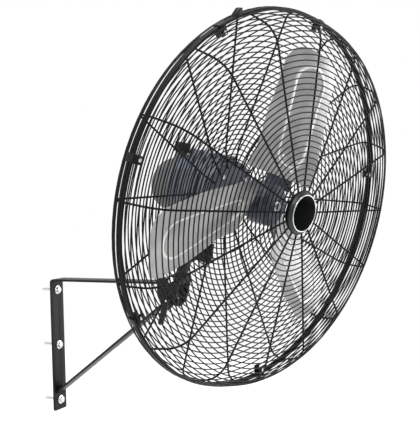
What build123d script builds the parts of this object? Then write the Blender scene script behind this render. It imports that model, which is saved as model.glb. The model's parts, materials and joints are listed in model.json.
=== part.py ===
"""Oscillating industrial fan on a flat-bar wall bracket, in millimetres.

The wall is the plane Y = 0 and the fan blows along -Y.  The origin is the middle
one of the three wall bolts, on the bracket's rear face.  +Z is up.

Three frames carry the pieces.  The bracket stands in the world frame.  The neck
stands in the tilt frame, at the tilt bolt.  The head stands in the pan frame, where
the fan's axis crosses the pan axis.  Along the fan's axis, places are given by their
distance from the rim plane, where the two guards meet: forward is positive.
"""

import os
from math import atan2, cos, degrees, radians, sin, sqrt, tan

from build123d import *

# ---- wall bracket ----------------------------------------------------------
BAR_W = 45.0               # flat bar, width
BAR_T = 5.0                # flat bar, thickness
BEND_R = 7.0               # bend of the bar, on its middle line
BOLT_PITCH = 135.0         # wall bolts, three on a line
TOP_EDGE = 28.0            # top bolt to the arm's top face
BOTTOM_EDGE = 24.0         # bottom bolt to the leg's lower end
ARM_LENGTH = 335.0         # wall to the end of the arm
STRUT_W = 38.0             # brace, width
STRUT_T = 5.0              # brace, thickness
STRUT_LIFT = 28.0          # brace's upper face on the leg, above the bottom bolt
STRUT_SHORT = 35.0         # brace's upper face under the arm, back from the arm's end
LEG_CORNER = 4.0           # rounded corners at the leg's lower end
WALL_BOLT_D = 8.0
WALL_THREAD_D = 7.6        # thread behind the plate, drawn plain at its middle
WALL_BOLT_OUT = 38.0       # how far a bolt stands behind the plate, into the wall
WALL_HOLE_PLAY = 1.0
WASHER_D = 21.0
WASHER_T = 1.8

# ---- clamp casting at the arm's end ---------------------------------------
CHEEK_PLAY = 0.5           # flat bar to each cheek
CHEEK_T = 6.0
CLAMP_GRIP = 29.0          # length of arm between the cheeks
CLAMP_WEB_SHORT = 1.0      # end of the web on the arm, back from the arm's end
CLAMP_TOP = 9.0            # above the arm's top face
CLAMP_DROP = 60.0          # below the arm's top face
PAD_T = 2.0                # pads and ribs on the cheeks, outward
PAD_EDGE = 3.0             # a pad is this much smaller than the ear
CHEEK_RIB_W = 4.0
TILT_PAST = 15.0           # tilt bolt, past the arm's end
TILT_RISE = 5.0            # tilt bolt, above the arm's top face
TILT_BOLT_D = 10.0
EAR_R = 14.0
LOCK_BACK = 14.0           # lock bolt, behind the tilt bolt
LOCK_DROP = 43.0           # lock bolt, below the tilt bolt
LOCK_BOLT_D = 8.0
CLAMP_SCREW_D = 6.0
CLAMP_SCREW_X = 12.0
CLAMP_SCREW_SHORT = 10.0   # clamp screws, back from the arm's end
HOLE_PLAY = 0.6            # a clearance hole is this much wider than its bolt
RUN_PLAY = 0.1             # a running hole is this much wider than its shaft
FACE_PLAY = 0.3            # between faces that turn past each other

# ---- tilt and pan ----------------------------------------------------------
TILT = 13.2                # head's nod at rest, degrees below level
TILT_MIN, TILT_MAX = 0.0, 24.0
PAN = -16.1                # head's turn at rest, degrees
SWEEP = 80.0               # whole sweep from side to side
NECK_REACH = 50.0          # pan axis, forward of the tilt bolt
AXIS_RISE = 213.5          # fan axis, above the tilt bolt
RIM_REACH = 140.6          # rim plane, forward of the pan axis

# ---- neck -------------------------------------------------------------------
LUG_R = 13.0
LUG_SIDE_PLAY = 0.5        # lug to each cheek
NECK_KNEE = (6.0, 48.0)    # where the neck bends forward, from the tilt bolt
NECK_END = 76.0            # neck's middle at the boss, above the tilt bolt
NECK_BEND = 26.0
NECK_W = 20.0              # web of the neck, across
NECK_DEPTH = 20.0          # web of the neck, fore and aft
BOSS_R = 17.0
BOSS_LOW = 55.0            # boss, lower and upper face above the tilt bolt
BOSS_TOP = 96.0
PAN_PIN_D = 14.0
PAN_NUT_T = 9.0
PIN_TAIL = 3.0             # pan pin below its nut
THRUST_T = 2.0
THRUST_PLAY = 0.05         # boss to thrust washer
QUADRANT_R = 56.0
QUADRANT_T = 4.0
QUADRANT_IN = 31.0         # inner edge of the slotted sector
QUADRANT_STEM = 13.0       # plate between the lug and the sector
SLOT_MARGIN = 12.0         # degrees of plate past the slot's travel
SLOT_SPARE = 1.0           # degrees of slot past the travel
LINK_ARM = 30.0            # fixed link pivot, out from the pan axis
EAR_LOW = 12.0             # ear's lower face, below the boss's top
EAR_T = 10.0
SADDLE_NECK_R = 10.5
SADDLE_LOW = 116.0         # where the saddle widens, above the tilt bolt
SADDLE_FOOT = 34.0         # square foot of the saddle
SADDLE_SEAT = (76.0, 56.0) # saddle under the motor, across and along
SADDLE_BITE = 6.5          # how deep the motor lies in the saddle
SADDLE_RIM = 12.0          # straight side of the saddle
PIN_BELOW_MOTOR = 9.5

# ---- lever ------------------------------------------------------------------
LEVER_HUB_R = 9.5
LEVER_HUB_L = 15.0
LEVER_LENGTH = 58.0
LEVER_LEAN = 18.0          # back from the plumb line, degrees
LEVER_T = 8.0
LEVER_END_W = 10.0
LEVER_END_R = 6.0

# ---- guards -----------------------------------------------------------------
RIM_R = 390.0              # middle of the two edge rings
EDGE_WIRE = 6.5            # edge ring wire
RING_WIRE = 3.0            # concentric wires
RIB_WIRE = 4.0             # radial wires
RIBS = 16
RIB_PHASE = 2.2            # degrees from the head's side
FRONT_DRAW_IN = 26.7       # front guard's shoulder, in from the rim
FRONT_SHOULDER = 66.4      # its place along the axis, before the bend
FRONT_BEND = 54.0
FRONT_FACE = 88.4          # wires at the hub cap, along the axis
REAR_SHOULDER = -32.0
REAR_BEND = 34.0
REAR_END_R = 101.0         # where the rear ribs bend onto their plate
REAR_TAIL = 16.0           # how far they lie on the plate
CAD_RINGS = 4              # concentric wires kept in each guard
FIRST_RING = 43.5          # first wire kept, along the rib from the edge ring
WELD_BITE = 0.3            # how deep a ring is welded into the ribs
CLIP_GAPS = (0, 3, 5, 7, 9, 12)   # gaps between ribs that hold a clip
CLIP_W = 16.0
CLIP_T = 1.5
CLIP_IN = 22.0             # how far a clip's legs reach in from the rings
CLIP_SCREW_IN = 15.0       # its screw, in from the rings
CLIP_SCREW_D = 4.0

# ---- hub cap ----------------------------------------------------------------
CAP_PLATE_R = 57.0
BEZEL_R = 52.0
CAP_DISC_R = 35.6
CAP_FACE = 100.0           # cap's face, forward of the rim plane
CAP_PLATE_T = 2.5
CAP_SEAT = 0.4             # ribs to the cap's plate
CAP_DISC_T = 3.0
CAP_BOSS_R = 4.0
CAP_SCREW_D = 4.0
CAP_SCREW_RING = 30.0

# ---- motor ------------------------------------------------------------------
MOTOR_R = 66.0
SHELL_T = 3.0
BELL_FRONT = -102.0        # front bell's face, against the guard's plate
BELL_DEPTH = 33.0
BELL_T = 4.0
SHELL_END = -222.0
COVER_R = 60.0
COVER_DROP = 10.0          # rear cover's middle, below the axis
COVER_END = -300.0
COVER_ROUND = 24.0
COVER_T = 2.5
STEM_R = 14.0              # stem round the spindle, under the knob
STEM_RISE = 1.5            # its top, above the motor
SHAFT_D = 12.0
BEARING_D = 32.0
BEARING_W = 10.0
CORE_R = 34.0              # rotor
CORE_FRONT, CORE_BACK = -150.0, -205.0
AIR_GAP = 0.5
WINDING_OUT = 14.0         # winding heads, past the core
WINDING_GAP = 7.0          # winding heads to the shell
BOX_W = 54.0               # wiring box on the motor
BOX_RISE = 14.0            # its lid's top, above the motor
BOX_LID_T = 4.0
BOX_FRONT, BOX_END = -122.0, -218.0
BOX_ROUND = 6.0
BOX_WALL = 2.5
GLAND_X = 12.0             # cord's gland, beside the middle
GLAND_RISE = 5.0           # and above the motor
GLAND_BORE_R = 2.6
GUARD_PLATE_R = 104.0
GUARD_PLATE_T = 2.5
PLATE_SCREW_D = 5.0
PLATE_SCREW_IN = 16.0      # plate's screws, in from the motor's outside

# ---- oscillator -------------------------------------------------------------
SPINDLE_X = -24.0
SPINDLE_AT = -243.0        # spindle, along the fan's axis from the rim plane
SPINDLE_D = 10.0
CRANK_DISC_R = 27.0
CRANK_LOW = 114.0          # crank disc's lower face, above the tilt bolt
CRANK_T = 6.0
CRANK_PIN_D = 8.0
LINK_LOW = 108.0           # link's lower face, above the tilt bolt
LINK_T = 4.0
LINK_W = 10.0
LINK_EYE_R = 8.0
OPEN_PIVOT_GAP = 0.5
WORM_R = 7.5
WORM_FRONT_LENGTH, WORM_BACK_LENGTH = 11.0, 13.0
WHEEL_TEETH = 30
WHEEL_T = 8.0
KNOB_R = 18.0
KNOB_H = 21.2
KNOB_FLUTES = 12

# ---- impeller ---------------------------------------------------------------
BLADES = 3
BLADE_PHASE = 77.2         # middle of the first blade's tip, degrees
TIP_GAP = 59.0             # blade's tip to the guards' rim
TIP_ROUND = 36.0           # corners of a blade's tip
ROOT_R = 62.0
BLADE_W = 130.0            # chord as seen from the front
BLADE_T = 2.0
BLADE_MID = 3.0            # blade's middle along the axis
CAMBER = 7.0
BEAD_ROOT = (114.0, 26.0)  # round ends of the pressed bead: place along the blade, radius
BEAD_TIP_IN, BEAD_TIP_R = 69.0, 38.0
BEAD_W = 8.0
BEAD_WALL = 1.8            # side walls of the bead
BEAD_RISE = 1.8            # its top above the sheet, and its hollow behind
ARM_ENDS = (38.0, 114.0)   # hub's arms behind the blades, along the blade
ARM_HALF = 24.0
ARM_T = 5.0
ARM_PLAY = 0.3             # arm to blade
RIVET_R = 2.5
RIVET_HEAD_R = 4.6
RIVET_HEAD_T = 1.8
RIVET_SEAT = 0.25          # rivet head to blade
RIVET_SPOTS = [(80.0, -13.0), (80.0, 13.0), (104.0, -13.0), (104.0, 13.0)]
HUB_R = 44.0
HUB_WALL = 4.0
HUB_BOSS_R = 14.0
HUB_BACK, HUB_FRONT = -24.0, 22.0
HUB_NUT_T = 9.0
SHAFT_PAST_NUT = 5.0

# ---- worked out from the sizes above ---------------------------------------
ARM_TOP = BOLT_PITCH + TOP_EDGE
LEG_END = -BOLT_PITCH - BOTTOM_EDGE
STRUT_FOOT = STRUT_LIFT - BOLT_PITCH
STRUT_REACH = ARM_LENGTH - STRUT_SHORT
CLAMP_BACK = ARM_LENGTH - CLAMP_GRIP
CLAMP_WEB_END = ARM_LENGTH - CLAMP_WEB_SHORT
CLAMP_SCREW_OUT = ARM_LENGTH - CLAMP_SCREW_SHORT
CHEEK_GAP = BAR_W + 2 * CHEEK_PLAY
TILT_REACH = ARM_LENGTH + TILT_PAST
TILT_Z = ARM_TOP + TILT_RISE
LUG_HALF = CHEEK_GAP / 2 - LUG_SIDE_PLAY
CHEEK_OUT = CHEEK_GAP / 2 + CHEEK_T
LOCK_R = sqrt(LOCK_BACK**2 + LOCK_DROP**2)
LOCK_ANGLE = degrees(atan2(-LOCK_DROP, -LOCK_BACK)) + 360  # seen from the level neck
CHEEK_FACE = CHEEK_OUT + PAD_T                             # outside of a pad on a cheek
CRANK_R = LINK_ARM * sin(radians(SWEEP / 2))               # crank pin's throw
LINK_TOP = LINK_LOW + LINK_T
PIN_TOP = AXIS_RISE - MOTOR_R - PIN_BELOW_MOTOR
SADDLE_TOP = AXIS_RISE - MOTOR_R + SADDLE_BITE
BOX_TOP = MOTOR_R + BOX_RISE
STEM_TOP = MOTOR_R + STEM_RISE
KNOB_TOP = STEM_TOP + FACE_PLAY + KNOB_H
PLATE_SCREW_RING = MOTOR_R - PLATE_SCREW_IN
TIP_R = RIM_R - TIP_GAP
CAP_BACK = FRONT_FACE - RIB_WIRE / 2 - CAP_SEAT

# side view of the bracket: x out from the wall, y up
side = Plane(origin=(0, 0, 0), x_dir=(0, -1, 0), z_dir=(-1, 0, 0))
tilt_frame = Location((0, -TILT_REACH, TILT_Z), (TILT, 0, 0))
tilt_flat = Plane(tilt_frame)
# side view of the neck: x forward, y up
tilt_side = Plane(tilt_flat.origin, x_dir=-tilt_flat.y_dir, z_dir=-tilt_flat.x_dir)
# pan axis, before the head is turned: x across, y back
pan_flat = Plane(tilt_frame * Location((0, -NECK_REACH, 0)))
head_frame = tilt_frame * Location((0, -NECK_REACH, AXIS_RISE), (0, 0, PAN))
head_flat = Plane(head_frame)
# across the fan's axis, looking back from the front: x to the side, y up, z forward
rim = Plane(head_frame * Location((0, -RIM_REACH, 0), (90, 0, 0)))
# half section through the fan's axis: x is the radius, y is forward
section = Plane(rim.origin, x_dir=head_flat.z_dir, z_dir=rim.x_dir)
fan_axis = Axis(rim.origin, rim.z_dir)


def finish(builder, name):
    """Label a piece and write it to its own file."""
    builder.part.label = name
    export_step(builder.part, f"parts/{name}.step")


os.makedirs("parts", exist_ok=True)


# ============================ wall bracket ==================================
def wall_points():
    return [(0, BOLT_PITCH * i) for i in (-1, 0, 1)]


with BuildPart() as wall_bracket:
    with BuildSketch(side):
        with BuildLine():
            FilletPolyline(
                (BAR_T / 2, LEG_END),
                (BAR_T / 2, ARM_TOP - BAR_T / 2),
                (ARM_LENGTH, ARM_TOP - BAR_T / 2),
                radius=BEND_R,
            )
        trace(line_width=BAR_T)
    extrude(amount=BAR_W / 2, both=True)
    with BuildSketch(Plane.XZ):
        with Locations(*wall_points()):
            Circle((WALL_BOLT_D + WALL_HOLE_PLAY) / 2)
    extrude(amount=BAR_T, mode=Mode.SUBTRACT)
    low_corners = wall_bracket.edges().filter_by(Axis.Y).group_by(Axis.Z)[0]
    fillet(low_corners, LEG_CORNER)
    with BuildSketch(Plane.XY.offset(ARM_TOP)):
        with Locations((-CLAMP_SCREW_X, -CLAMP_SCREW_OUT), (CLAMP_SCREW_X, -CLAMP_SCREW_OUT)):
            Circle((CLAMP_SCREW_D + HOLE_PLAY) / 2)
    extrude(amount=-BAR_T, mode=Mode.SUBTRACT)
finish(wall_bracket, "wall_bracket")

strut_rise = ARM_TOP - BAR_T - STRUT_FOOT
strut_angle = atan2(strut_rise, STRUT_REACH - BAR_T)
with BuildPart() as brace_strut:
    with BuildSketch(side):
        under_arm = ARM_TOP - BAR_T
        Polygon(
            (BAR_T, STRUT_FOOT),
            (BAR_T, STRUT_FOOT - STRUT_T / cos(strut_angle)),
            (STRUT_REACH + STRUT_T / sin(strut_angle), under_arm),
            (STRUT_REACH, under_arm),
            align=None,
        )
    extrude(amount=STRUT_W / 2, both=True)
finish(brace_strut, "brace_strut")

with BuildPart() as wall_bolts:
    with BuildSketch(Plane.XZ.offset(BAR_T + WASHER_T)):
        with Locations(*wall_points()):
            RegularPolygon(WALL_BOLT_D * 0.94, 6)
    extrude(amount=WALL_BOLT_D * 0.66)
    with BuildSketch(Plane.XZ.offset(BAR_T + WASHER_T)):
        with Locations(*wall_points()):
            Circle(WALL_BOLT_D / 2)
    extrude(amount=-(BAR_T + WASHER_T))
    with BuildSketch(Plane.XZ):
        with Locations(*wall_points()):
            Circle(WALL_THREAD_D / 2)
    extrude(amount=-WALL_BOLT_OUT)
finish(wall_bolts, "wall_bolts")

with BuildPart() as wall_washers:
    with BuildSketch(Plane.XZ.offset(BAR_T)):
        with Locations(*wall_points()):
            Circle(WASHER_D / 2)
            Circle((WALL_BOLT_D + HOLE_PLAY) / 2, mode=Mode.SUBTRACT)
    extrude(amount=WASHER_T)
finish(wall_washers, "wall_washers")


# ======================= clamp casting and its bolts ========================
lock_point = (TILT_REACH - LOCK_BACK, TILT_Z - LOCK_DROP)
with BuildPart() as clamp_casting:
    with BuildSketch(side):
        Polygon(
            (CLAMP_BACK, ARM_TOP + CLAMP_TOP),
            (CLAMP_WEB_END, ARM_TOP + CLAMP_TOP),
            (TILT_REACH, TILT_Z + EAR_R),
            (TILT_REACH + EAR_R, TILT_Z),
            (TILT_REACH, ARM_TOP - CLAMP_DROP + EAR_R),
            (TILT_REACH - EAR_R, ARM_TOP - CLAMP_DROP),
            (CLAMP_BACK + EAR_R, ARM_TOP - CLAMP_DROP),
            (CLAMP_BACK, ARM_TOP - CLAMP_DROP / 2),
            align=None,
        )
        with Locations((TILT_REACH, TILT_Z)):
            Circle(EAR_R)
    extrude(amount=CHEEK_OUT, both=True)
    with BuildSketch(side):
        with Locations((CLAMP_BACK - EAR_R, ARM_TOP - 2 * CLAMP_DROP)):
            Rectangle(6 * EAR_R, 2 * CLAMP_DROP, align=(Align.MIN, Align.MIN))
        with Locations((CLAMP_WEB_END, ARM_TOP - 2 * CLAMP_DROP)):
            Rectangle(4 * EAR_R, 4 * CLAMP_DROP, align=(Align.MIN, Align.MIN))
    extrude(amount=CHEEK_GAP / 2, both=True, mode=Mode.SUBTRACT)
    # stiffening ribs and round pads on the outside of the cheeks
    for face in (1, -1):
        with BuildSketch(side.offset(face * CHEEK_OUT)):
            with Locations((TILT_REACH, TILT_Z), lock_point):
                Circle(EAR_R - PAD_EDGE)
            with BuildLine():
                Line((CLAMP_BACK + 6, ARM_TOP), (TILT_REACH, TILT_Z))
            trace(line_width=CHEEK_RIB_W)
            with BuildLine():
                Line((CLAMP_BACK + 6, ARM_TOP - 8), lock_point)
            trace(line_width=CHEEK_RIB_W)
        extrude(amount=face * PAD_T)
    with BuildSketch(side):
        with Locations((TILT_REACH, TILT_Z)):
            Circle((TILT_BOLT_D + HOLE_PLAY) / 2)
        with Locations(lock_point):
            Circle((LOCK_BOLT_D + HOLE_PLAY) / 2)
    extrude(amount=2 * CHEEK_OUT, both=True, mode=Mode.SUBTRACT)
    with BuildSketch(Plane.XY.offset(ARM_TOP)):
        with Locations((-CLAMP_SCREW_X, -CLAMP_SCREW_OUT), (CLAMP_SCREW_X, -CLAMP_SCREW_OUT)):
            Circle((CLAMP_SCREW_D + HOLE_PLAY) / 2)
    extrude(amount=2 * EAR_R, mode=Mode.SUBTRACT)
finish(clamp_casting, "clamp_casting")

with BuildPart() as tilt_bolt:
    with BuildSketch(side.offset(-CHEEK_FACE)):
        with Locations((TILT_REACH, TILT_Z)):
            RegularPolygon(TILT_BOLT_D * 0.92, 6)
    extrude(amount=-TILT_BOLT_D * 0.64)
    with BuildSketch(side.offset(-CHEEK_FACE)):
        with Locations((TILT_REACH, TILT_Z)):
            Circle(TILT_BOLT_D / 2)
    extrude(amount=2 * CHEEK_FACE + TILT_BOLT_D * 1.1)
finish(tilt_bolt, "tilt_bolt")

with BuildPart() as tilt_nut:
    with BuildSketch(side.offset(CHEEK_FACE)):
        with Locations((TILT_REACH, TILT_Z)):
            RegularPolygon(TILT_BOLT_D * 0.92, 6)
            Circle((TILT_BOLT_D + RUN_PLAY) / 2, mode=Mode.SUBTRACT)
    extrude(amount=TILT_BOLT_D * 0.8)
finish(tilt_nut, "tilt_nut")

with BuildPart() as lock_bolt:
    with BuildSketch(side.offset(-CHEEK_FACE)):
        with Locations(lock_point):
            Circle(LOCK_BOLT_D)
    extrude(amount=-LOCK_BOLT_D * 0.5)
    with BuildSketch(side.offset(-CHEEK_FACE)):
        with Locations(lock_point):
            Circle(LOCK_BOLT_D / 2)
    extrude(amount=2 * CHEEK_FACE + LEVER_HUB_L - 2)
finish(lock_bolt, "lock_bolt")

with BuildPart() as clamp_screws:
    screw_places = [(-CLAMP_SCREW_X, -CLAMP_SCREW_OUT), (CLAMP_SCREW_X, -CLAMP_SCREW_OUT)]
    with BuildSketch(Plane.XY.offset(ARM_TOP + CLAMP_TOP)):
        with Locations(*screw_places):
            Circle(CLAMP_SCREW_D * 0.85)
    extrude(amount=CLAMP_SCREW_D * 0.7)
    with BuildSketch(Plane.XY.offset(ARM_TOP + CLAMP_TOP)):
        with Locations(*screw_places):
            Circle(CLAMP_SCREW_D / 2)
    extrude(amount=-(CLAMP_TOP + BAR_T + CLAMP_SCREW_D))
finish(clamp_screws, "clamp_screws")

with BuildPart() as clamp_nuts:
    with BuildSketch(Plane.XY.offset(ARM_TOP - BAR_T)):
        with Locations(*screw_places):
            RegularPolygon(CLAMP_SCREW_D * 0.96, 6)
            Circle((CLAMP_SCREW_D + RUN_PLAY) / 2, mode=Mode.SUBTRACT)
    extrude(amount=-CLAMP_SCREW_D * 0.8)
finish(clamp_nuts, "clamp_nuts")


# ================================= lock lever ===============================
lever_plane = side.offset(CHEEK_FACE)
lever_reach = LEVER_LENGTH - LEVER_END_R
lever_tip = (
    lock_point[0] - lever_reach * sin(radians(LEVER_LEAN)),
    lock_point[1] - lever_reach * cos(radians(LEVER_LEAN)),
)
with BuildPart() as lock_lever:
    with BuildSketch(lever_plane):
        with Locations(lock_point):
            Circle(LEVER_HUB_R)
    extrude(amount=LEVER_HUB_L)
    with BuildSketch(lever_plane.offset((LEVER_HUB_L - LEVER_T) / 2)):
        with Locations(Location((*lock_point, 0), (0, 0, -LEVER_LEAN))):
            Polygon(
                (-LEVER_HUB_R * 0.8, 0),
                (-LEVER_END_W / 2, -lever_reach),
                (LEVER_END_W / 2, -lever_reach),
                (LEVER_HUB_R * 0.8, 0),
                align=None,
            )
        with Locations(lever_tip):
            Circle(LEVER_END_R)
    extrude(amount=LEVER_T)
    with BuildSketch(lever_plane):
        with Locations(lock_point):
            Circle((LOCK_BOLT_D + RUN_PLAY) / 2)
    extrude(amount=LEVER_HUB_L, mode=Mode.SUBTRACT)
finish(lock_lever, "lock_lever")


# ========================= neck, in the tilt frame ==========================
slot_from, slot_to = LOCK_ANGLE + TILT_MIN - SLOT_SPARE, LOCK_ANGLE + TILT_MAX + SLOT_SPARE
slot_middle = (slot_from + slot_to) / 2

with BuildPart() as tilt_neck:
    with BuildSketch(tilt_side):
        Circle(LUG_R)
    extrude(amount=LUG_HALF - QUADRANT_T)
    with BuildSketch(tilt_side):
        Circle(LUG_R)
    extrude(amount=-LUG_HALF)
    with BuildSketch(tilt_side):
        with BuildLine():
            FilletPolyline((0, 0), NECK_KNEE, (NECK_REACH, NECK_END), radius=NECK_BEND)
        trace(line_width=NECK_DEPTH)
    extrude(amount=NECK_W / 2, both=True)
    with BuildSketch(pan_flat.offset(BOSS_LOW)):
        Circle(BOSS_R)
    extrude(amount=BOSS_TOP - BOSS_LOW)
    # fixed pivot of the oscillator's link, on an ear beside the boss
    with BuildSketch(pan_flat.offset(BOSS_TOP - EAR_LOW)):
        with Locations((-LINK_ARM / 2, 0)):
            Rectangle(LINK_ARM, 1.5 * LINK_EYE_R)
        with Locations((-LINK_ARM, 0)):
            Circle(LINK_EYE_R)
    extrude(amount=EAR_T)
    with BuildSketch(pan_flat.offset(BOSS_TOP - EAR_LOW)):
        with Locations((-LINK_ARM, 0)):
            Circle(LINK_EYE_R)
    extrude(amount=LINK_LOW - OPEN_PIVOT_GAP - BOSS_TOP + EAR_LOW)
    with BuildSketch(tilt_side):
        Circle((TILT_BOLT_D + RUN_PLAY) / 2)
    extrude(amount=CHEEK_GAP, both=True, mode=Mode.SUBTRACT)
    with BuildSketch(pan_flat.offset(BOSS_LOW)):
        Circle((PAN_PIN_D + RUN_PLAY) / 2)
    extrude(amount=BOSS_TOP - BOSS_LOW, mode=Mode.SUBTRACT)
finish(tilt_neck, "tilt_neck")

with BuildPart() as tilt_quadrant:
    wedge = [(0, 0)]
    for step in range(7):
        spread = slot_from - SLOT_MARGIN + (slot_to - slot_from + 2 * SLOT_MARGIN) * step / 6
        wedge.append((2 * QUADRANT_R * cos(radians(spread)), 2 * QUADRANT_R * sin(radians(spread))))
    with BuildSketch(tilt_side.offset(LUG_HALF - QUADRANT_T)):
        Circle(QUADRANT_R)
        Circle(QUADRANT_IN, mode=Mode.SUBTRACT)
        Polygon(*wedge, align=None, mode=Mode.INTERSECT)
        with Locations(Location((0, 0, 0), (0, 0, slot_middle))):
            Polygon(
                (0, -QUADRANT_STEM / 2),
                (LUG_R + 4, -QUADRANT_STEM / 2),
                (QUADRANT_IN + 2.6, -QUADRANT_STEM / 2 - 8.5),
                (QUADRANT_IN + 2.6, QUADRANT_STEM / 2 + 8.5),
                (LUG_R + 4, QUADRANT_STEM / 2),
                (0, QUADRANT_STEM / 2),
                align=None,
            )
        Circle(LUG_R)
        Circle((TILT_BOLT_D + RUN_PLAY) / 2, mode=Mode.SUBTRACT)
        with BuildLine():
            CenterArc((0, 0), LOCK_R, slot_from, slot_to - slot_from)
        trace(line_width=LOCK_BOLT_D + HOLE_PLAY, mode=Mode.SUBTRACT)
        for end in (slot_from, slot_to):
            with Locations((LOCK_R * cos(radians(end)), LOCK_R * sin(radians(end)))):
                Circle((LOCK_BOLT_D + HOLE_PLAY) / 2, mode=Mode.SUBTRACT)
    extrude(amount=QUADRANT_T)
finish(tilt_quadrant, "tilt_quadrant")

# ========================= pan joint, in the pan frame ======================
def above_bolt(height):
    """A level plane of the head, this far above the tilt bolt."""
    return head_flat.offset(height - AXIS_RISE)


with BuildPart() as pan_pin:
    with BuildSketch(above_bolt(BOSS_LOW - FACE_PLAY - PAN_NUT_T - PIN_TAIL)):
        Circle(PAN_PIN_D / 2)
    extrude(amount=PIN_TOP - BOSS_LOW + FACE_PLAY + PAN_NUT_T + PIN_TAIL)
finish(pan_pin, "pan_pin")

with BuildPart() as pan_nut:
    with BuildSketch(above_bolt(BOSS_LOW - FACE_PLAY)):
        RegularPolygon(PAN_PIN_D * 0.8, 6)
        Circle(PAN_PIN_D / 2, mode=Mode.SUBTRACT)
    extrude(amount=-PAN_NUT_T)
finish(pan_nut, "pan_nut")

with BuildPart() as thrust_washer:
    with BuildSketch(above_bolt(BOSS_TOP + THRUST_PLAY)):
        Circle(BOSS_R - 1)
        Circle(PAN_PIN_D / 2, mode=Mode.SUBTRACT)
    extrude(amount=THRUST_T)
finish(thrust_washer, "thrust_washer")

saddle_base = BOSS_TOP + THRUST_PLAY + THRUST_T
with BuildPart() as motor_saddle:
    with BuildSketch(above_bolt(saddle_base)):
        Circle(SADDLE_NECK_R)
    extrude(amount=SADDLE_LOW - saddle_base)
    with BuildSketch(above_bolt(SADDLE_LOW)):
        RectangleRounded(SADDLE_FOOT, SADDLE_FOOT, 8)
    with BuildSketch(above_bolt(SADDLE_TOP - SADDLE_RIM)):
        RectangleRounded(*SADDLE_SEAT, 8)
    loft()
    with BuildSketch(above_bolt(SADDLE_TOP - SADDLE_RIM)):
        RectangleRounded(*SADDLE_SEAT, 8)
    extrude(amount=SADDLE_RIM)
    with BuildSketch(rim):
        Circle(MOTOR_R)
    extrude(amount=COVER_END, mode=Mode.SUBTRACT)
    with BuildSketch(above_bolt(BOSS_TOP)):
        Circle(PAN_PIN_D / 2)
    extrude(amount=PIN_TOP - BOSS_TOP, mode=Mode.SUBTRACT)
finish(motor_saddle, "motor_saddle")


# =================================== motor ==================================
with BuildPart() as front_bell:
    bearing_back = BELL_FRONT - BEARING_W - 3
    with BuildSketch(section):
        Polygon(
            (SHAFT_D / 2 + 3, BELL_FRONT),
            (MOTOR_R - 7, BELL_FRONT),
            (MOTOR_R, BELL_FRONT - 12),
            (MOTOR_R, BELL_FRONT - BELL_DEPTH),
            (MOTOR_R - SHELL_T, BELL_FRONT - BELL_DEPTH),
            (MOTOR_R - SHELL_T - 1, BELL_FRONT - 15),
            (MOTOR_R - 12, BELL_FRONT - BELL_T),
            (BEARING_D / 2 + 4, BELL_FRONT - BELL_T),
            (BEARING_D / 2 + 4, bearing_back),
            (BEARING_D / 2, bearing_back),
            (BEARING_D / 2, BELL_FRONT - 3),
            (SHAFT_D / 2 + 3, BELL_FRONT - 3),
            align=None,
        )
    revolve(axis=fan_axis)
    with BuildSketch(rim.offset(BELL_FRONT)):
        with PolarLocations(PLATE_SCREW_RING, 4, 45):
            Circle(PLATE_SCREW_D / 2)
    extrude(amount=-BELL_T, mode=Mode.SUBTRACT)
finish(front_bell, "front_bell")

with BuildPart() as motor_shell:
    with BuildSketch(rim.offset(BELL_FRONT - BELL_DEPTH)):
        Circle(MOTOR_R)
        Circle(MOTOR_R - SHELL_T, mode=Mode.SUBTRACT)
    extrude(amount=SHELL_END - BELL_FRONT + BELL_DEPTH)
finish(motor_shell, "motor_shell")

with BuildPart() as stator_core:
    with BuildSketch(rim.offset(CORE_FRONT)):
        Circle(MOTOR_R - SHELL_T)
        Circle(CORE_R + AIR_GAP, mode=Mode.SUBTRACT)
    extrude(amount=CORE_BACK - CORE_FRONT)
finish(stator_core, "stator_core")

winding_in, winding_out = CORE_R + AIR_GAP + 1.5, MOTOR_R - SHELL_T - WINDING_GAP
with BuildPart() as stator_windings:
    for end, way in ((CORE_FRONT, 1), (CORE_BACK, -1)):
        with BuildSketch(section):
            with Locations(((winding_in + winding_out) / 2, end + way * WINDING_OUT / 2)):
                Rectangle(winding_out - winding_in, WINDING_OUT)
        revolve(axis=fan_axis)
finish(stator_windings, "stator_windings")

with BuildPart() as rear_bell:
    with BuildSketch(rim.offset(SHELL_END)):
        Circle(MOTOR_R)
        with Locations((0, -COVER_DROP)):
            Circle(COVER_R)
    extrude(amount=-BELL_T)
    with BuildSketch(rim.offset(SHELL_END)):
        Circle(BEARING_D / 2 + 4)
    extrude(amount=BEARING_W - 2)
    with BuildSketch(rim.offset(SHELL_END + BEARING_W)):
        Circle(BEARING_D / 2)
    extrude(amount=-BEARING_W, mode=Mode.SUBTRACT)
    with BuildSketch(rim.offset(SHELL_END)):
        Circle(SHAFT_D / 2 + 3)
    extrude(amount=-BELL_T, mode=Mode.SUBTRACT)
finish(rear_bell, "rear_bell")

for place, name in ((BELL_FRONT - 3, "front_bearing"), (SHELL_END + BEARING_W, "rear_bearing")):
    with BuildPart() as bearing:
        with BuildSketch(rim.offset(place)):
            Circle(BEARING_D / 2)
            Circle((SHAFT_D + RUN_PLAY) / 2, mode=Mode.SUBTRACT)
        extrude(amount=-BEARING_W)
    finish(bearing, name)

# gear cover: a round case with a soft rear edge, let down below the axis
cover_front = SHELL_END - BELL_T
cover_middle = Plane(rim.origin - COVER_DROP * head_flat.z_dir, x_dir=rim.x_dir, z_dir=rim.z_dir)
cover_section = Plane(cover_middle.origin, x_dir=section.x_dir, z_dir=section.z_dir)
cover_axis = Axis(cover_middle.origin, rim.z_dir)
spindle_flat = Plane(head_frame * Location((SPINDLE_X, -RIM_REACH - SPINDLE_AT, 0)))


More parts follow.
